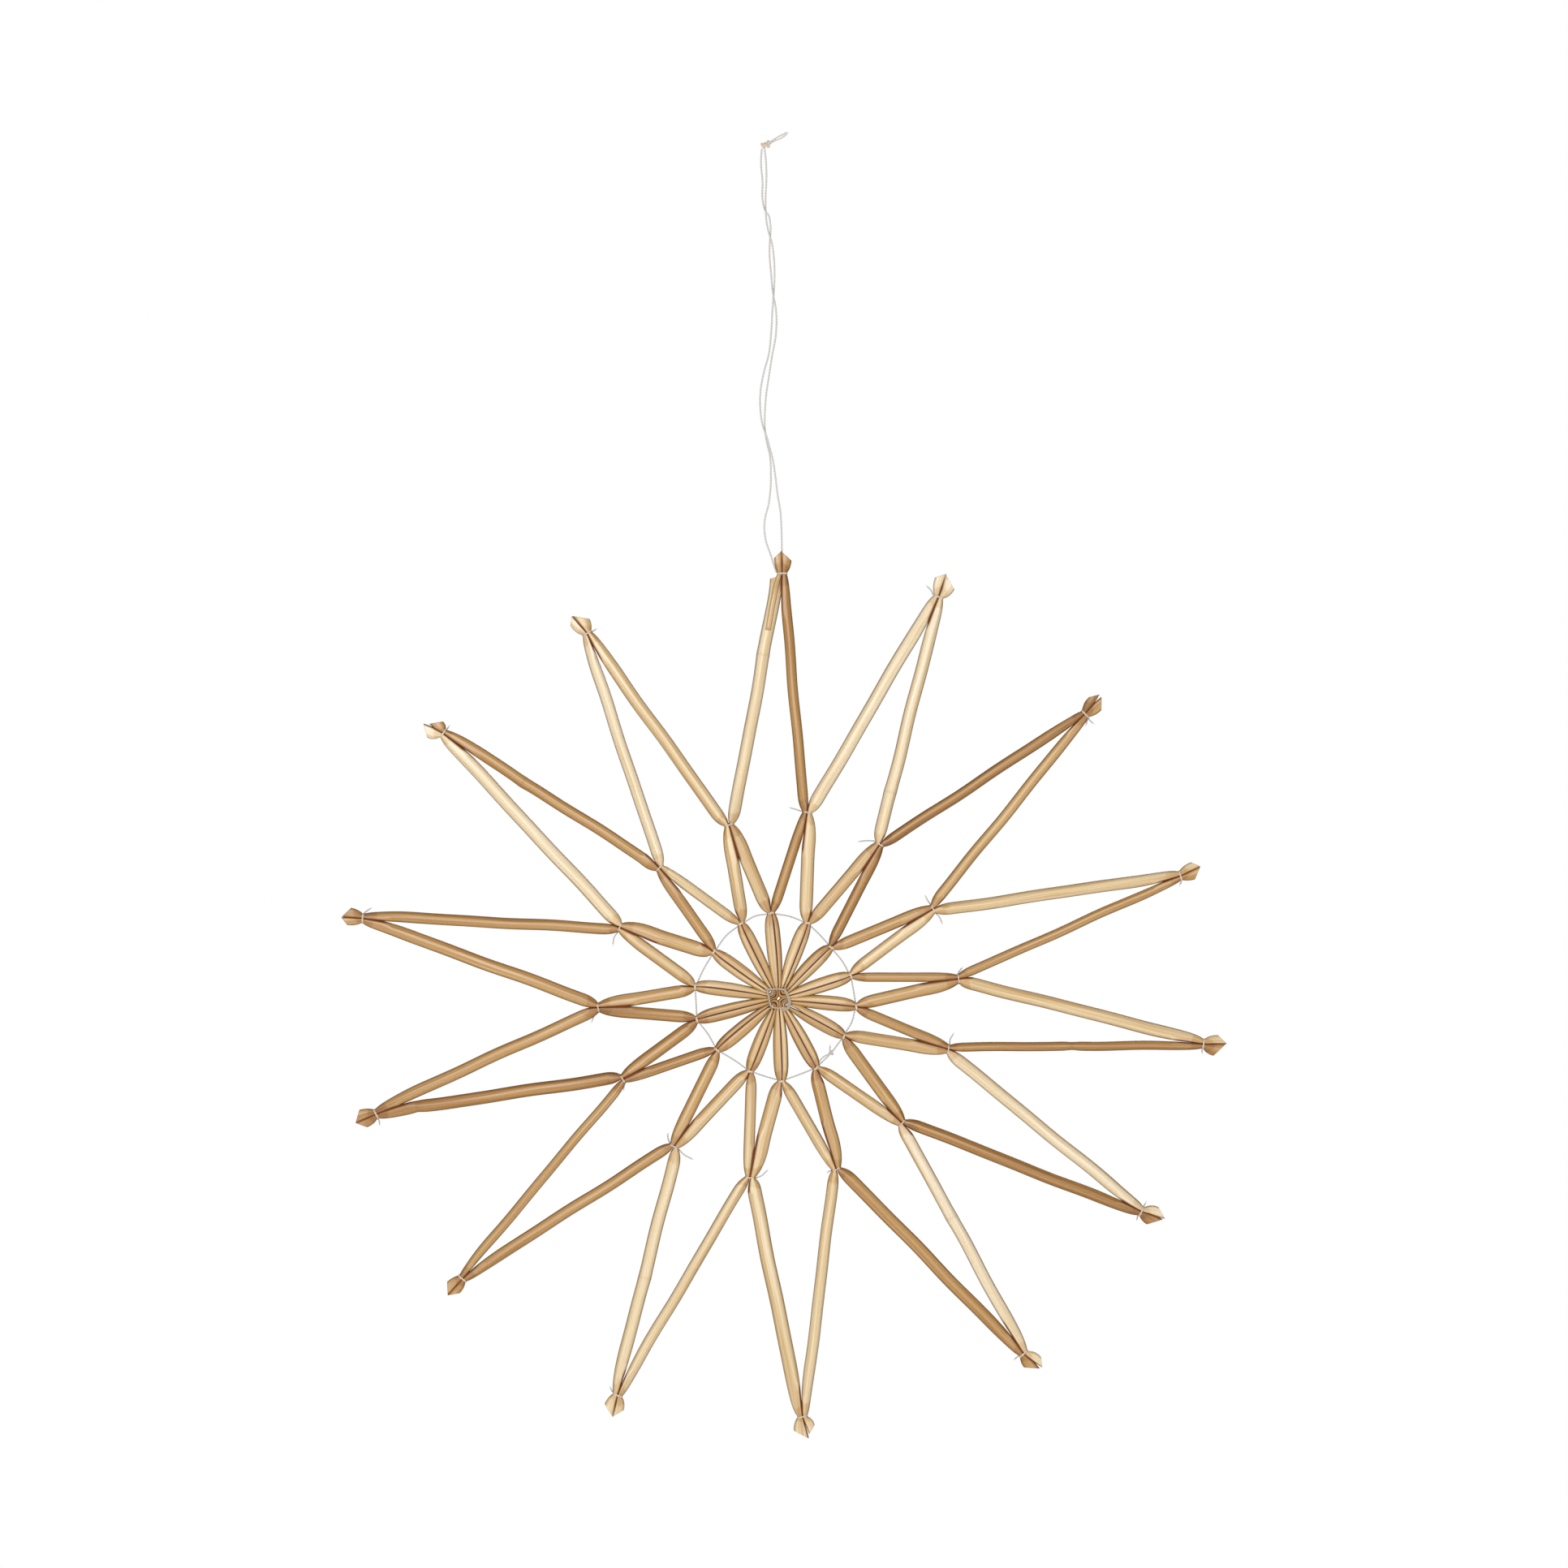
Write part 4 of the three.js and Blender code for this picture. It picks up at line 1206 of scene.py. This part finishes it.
def loop_knot():
    """Overhand knot over both strands, a second turn beside it, and the thread's two cut ends."""
    turns = [
        knot_path(np.array(FIRST_KNOT), ACROSS, UP, BACK, FIRST_KNOT_SIZE),
        knot_path(np.array(SECOND_KNOT), UP, ACROSS, BACK, SECOND_KNOT_SIZE),
    ]
    tubes = [thread(turn, closed=True, tint=KNOT_TINT) for turn in turns]
    for ways in TAIL_WAYS:
        path = smooth_line(ways, LOOP_TAIL_STEP)
        tubes.append(thread(path, LOOP_THREAD * 0.9))
        tubes += frayed(path[-1], unit(path[-1] - path[-4]), count=5)
    return piece("loop_knot_thread", tubes, thread_finish, "loop_knot")


def loop_strand(name, points, node):
    """One half of the loop, a limp cord from behind the first tip up to the knot."""
    path = smooth_line(points)
    made = piece(name, [thread(path, LOOP_THREAD)], thread_finish, node)
    return made


knot_piece = loop_knot()
loop_strand("loop_strand_left", LEFT_STRAND, "hanging_thread_left")
loop_strand("loop_strand_right", RIGHT_STRAND, "hanging_thread_right")


# Ties, inner ring and centre binding

RING_KNOT_SPAN = 5
# Added painted shade on the ring's spans and its knot
SPAN_PAINTED_SHADE = 0.5
SPAN_BACK = -0.2


def inner_ring():
    """One thread turned round every inner neck, with a bowed span from each to the next."""
    tubes = [
        thread(tie_ring(tie, INNER_TIE_THREAD), INNER_TIE_THREAD, closed=True, tint=TIE_BOUNCE_TINT)
        for tie in inners
    ]
    for i, tie in enumerate(inners):
        after = inners[(i + 1) % PETALS]
        way = unit(after.centre - tie.centre) * (tie.neck + 0.3)
        start, end = tie.centre + way, after.centre - way
        bow = (start + end) / 2
        bow = bow * (1 + SPAN_BOWS[i] / np.linalg.norm(bow))
        path = smooth_line(in_space([start, bow, end], SPAN_BACK), TAIL_STEP)
        tubes.append(thread(path, SPAN_THREAD, added_shade=SPAN_PAINTED_SHADE))
        if i == RING_KNOT_SPAN:
            tubes += ring_knot(in_space(bow, SPAN_BACK), unit(path[-1] - path[0]), path)
    return piece("ring_thread", tubes, thread_finish, "inner_ring_thread")


def ring_knot(at, way, span):
    """The ring thread's knot, the end laid back along its span, and the end that stands up."""
    up = np.cross(way, BACK)
    up = up if up[2] > 0 else -up
    laid = smooth_line([at, at + (span[-1] - at) * 0.55 + up * 1.2, span[-1] + up * 0.6], TAIL_STEP)
    standing = smooth_line([at, at + up * 1.3 - way * 0.7, at + up * 2.4 - way * 2.1], TAIL_STEP)
    return [
        thread(knot_path(at, way, up, BACK, KNOT_SIZE), KNOT_THREAD, closed=True, added_shade=SPAN_PAINTED_SHADE),
        thread(laid, KNOT_THREAD, added_shade=SPAN_PAINTED_SHADE),
        thread(standing, KNOT_THREAD, added_shade=SPAN_PAINTED_SHADE),
        *frayed(standing[-1], unit(standing[-1] - standing[-4])),
    ]


# How far the binding thread goes towards the darker beige
CORE_TINT = 0.8
CORE_THREAD = 1.1

# The square on the front, which of its points are corners, the second thread beside its right side, and the
# knot's place and size
FRONT_WAY = [
    (2.6, 4.6), (4.3, 1.6), (5, -1.6), (4, -4.2), (0.7, -4),
    (-3.5, -3.1), (-4.6, 0.6), (-5.1, 4.3), (-1.4, 4.8),
]
FRONT_CORNERS = [0, 3, 5, 7]
SECOND_WAY = [(2.3, 4.2), (3.8, 1.2), (4.4, -1.6), (3.6, -4)]
CORE_KNOT = (2.4, -4.3)
CORE_KNOT_SIZE = 2.4


def centre_binding():
    """A square of thread on the front and on the back of the straws, a post at each corner, and a knot."""
    face = CORE_DEPTH / 2 + THREAD * 0.45
    front, rear = np.array(FRONT_WAY), np.array([post.at for post in posts])
    tubes = []
    for corners, back in ((front, -face), (rear, face)):
        closed_way = np.concatenate([corners, corners[:1]])
        path = smooth_line(in_space(closed_way, back))[:-1]
        tubes.append(thread(path, CORE_THREAD, closed=True, tint=CORE_TINT))
    for corner, behind in zip(front[FRONT_CORNERS], rear):
        path = smooth_line(in_space([corner, behind], np.array([-face, face])))
        tubes.append(thread(path, tint=CORE_TINT))
    tubes.append(thread(smooth_line(in_space(SECOND_WAY, -face - 0.3)), KNOT_THREAD, tint=CORE_TINT))
    knot = knot_path(in_space(CORE_KNOT, -face), ACROSS * 1.2, UP * 0.8, BACK, CORE_KNOT_SIZE)
    tubes.append(thread(knot, KNOT_THREAD, closed=True, tint=CORE_TINT))
    return piece("binding_thread", tubes, thread_finish, "centre_binding")


def strand_ends(tie):
    """The last stretch of both hanging strands, in under the first tie's turn at the back."""
    under = in_space(tie.centre, KNOT_BACK)
    return [
        thread(smooth_line([strand[0], (strand[0] + under) / 2, under]), LOOP_THREAD)
        for strand in (np.array(LEFT_STRAND), np.array(RIGHT_STRAND))
    ]


inner_ring()
centre_binding()
for name, ties, tails, diameter in (
    ("tip_tie", tips, TIP_TAILS, TIP_TIE_THREAD), ("mid_tie", mids, MID_TAILS, MID_TIE_THREAD),
):
    for i, tie in enumerate(ties):
        tubes = tie_tubes(tie, tails.get(i, []), diameter)
        if tie is short_arm.tip:
            tubes += strand_ends(tie)
        piece(f"{name}_thread_{i + 1:02d}", tubes, thread_finish, f"{name}_{i + 1:02d}")


# Straws in place

STRIP_SEED = 40

for i, (before, after, post, turn) in enumerate(straw_list):
    tubes = [straw_tube(whole_straw(before, after, post, turn), i + 1)]
    piece(f"whole_straw_{i + 1:02d}", tubes, straw_finish, f"straw_{i + 1:02d}")
piece("spliced_strip", [straw_tube(splice_run(), STRIP_SEED)], straw_finish, "splice_straw")


# Floor, light and background

FLOOR_DROP = 0.9
FLOOR_HALF = 1.2


def plain_material(name, colour):
    material, _, shader = new_material(name)
    shader.inputs["Base Color"].default_value = colour
    shader.inputs["Roughness"].default_value = 0.9
    return material


def make_floor():
    mesh = bpy.data.meshes.new("floor")
    square = np.array([(-1, -1, 0), (1, -1, 0), (1, 1, 0), (-1, 1, 0)]) * FLOOR_HALF
    mesh.from_pydata((square - UP * FLOOR_DROP).tolist(), [], [(0, 1, 2, 3)])
    mesh.materials.append(plain_material("floor", linear(245, 244, 242)))
    placed("floor", mesh)


def area_light(name, place, size, power):
    """A square light that faces the star's centre."""
    light = bpy.data.lights.new(name, "AREA")
    light.size = size
    light.energy = power
    made = placed(name, light)
    made.location = place
    aim = Vector(in_space([0, 0]) * MM) - Vector(place)
    made.rotation_euler = aim.to_track_quat("-Z", "Y").to_euler()


def set_background():
    """White to the camera, and a weaker white light on the object."""
    world = bpy.data.worlds.new("studio")
    bpy.context.scene.world = world
    world.use_nodes = True
    tree = world.node_tree
    seen = tree.nodes["Background"]
    seen.inputs["Color"].default_value = (1, 1, 1, 1)
    felt = add_node(tree, "ShaderNodeBackground", {"Color": (1, 0.99, 0.98, 1), "Strength": 0.2})
    path = add_node(tree, "ShaderNodeLightPath")
    shaders = {0: path.outputs["Is Camera Ray"], 1: felt.outputs[0], 2: seen.outputs[0]}
    blend = add_node(tree, "ShaderNodeMixShader", shaders)
    tree.links.new(blend.outputs[0], tree.nodes["World Output"].inputs["Surface"])


make_floor()
area_light("key", (-0.25, -1.65, -0.1), 0.7, 19)
area_light("fill", (0.6, -1.45, -0.8), 1.0, 4.5)
area_light("back_light", (0.3, 1.6, 0.3), 1.0, 13)
set_background()
bpy.context.scene.view_settings.view_transform = "Standard"
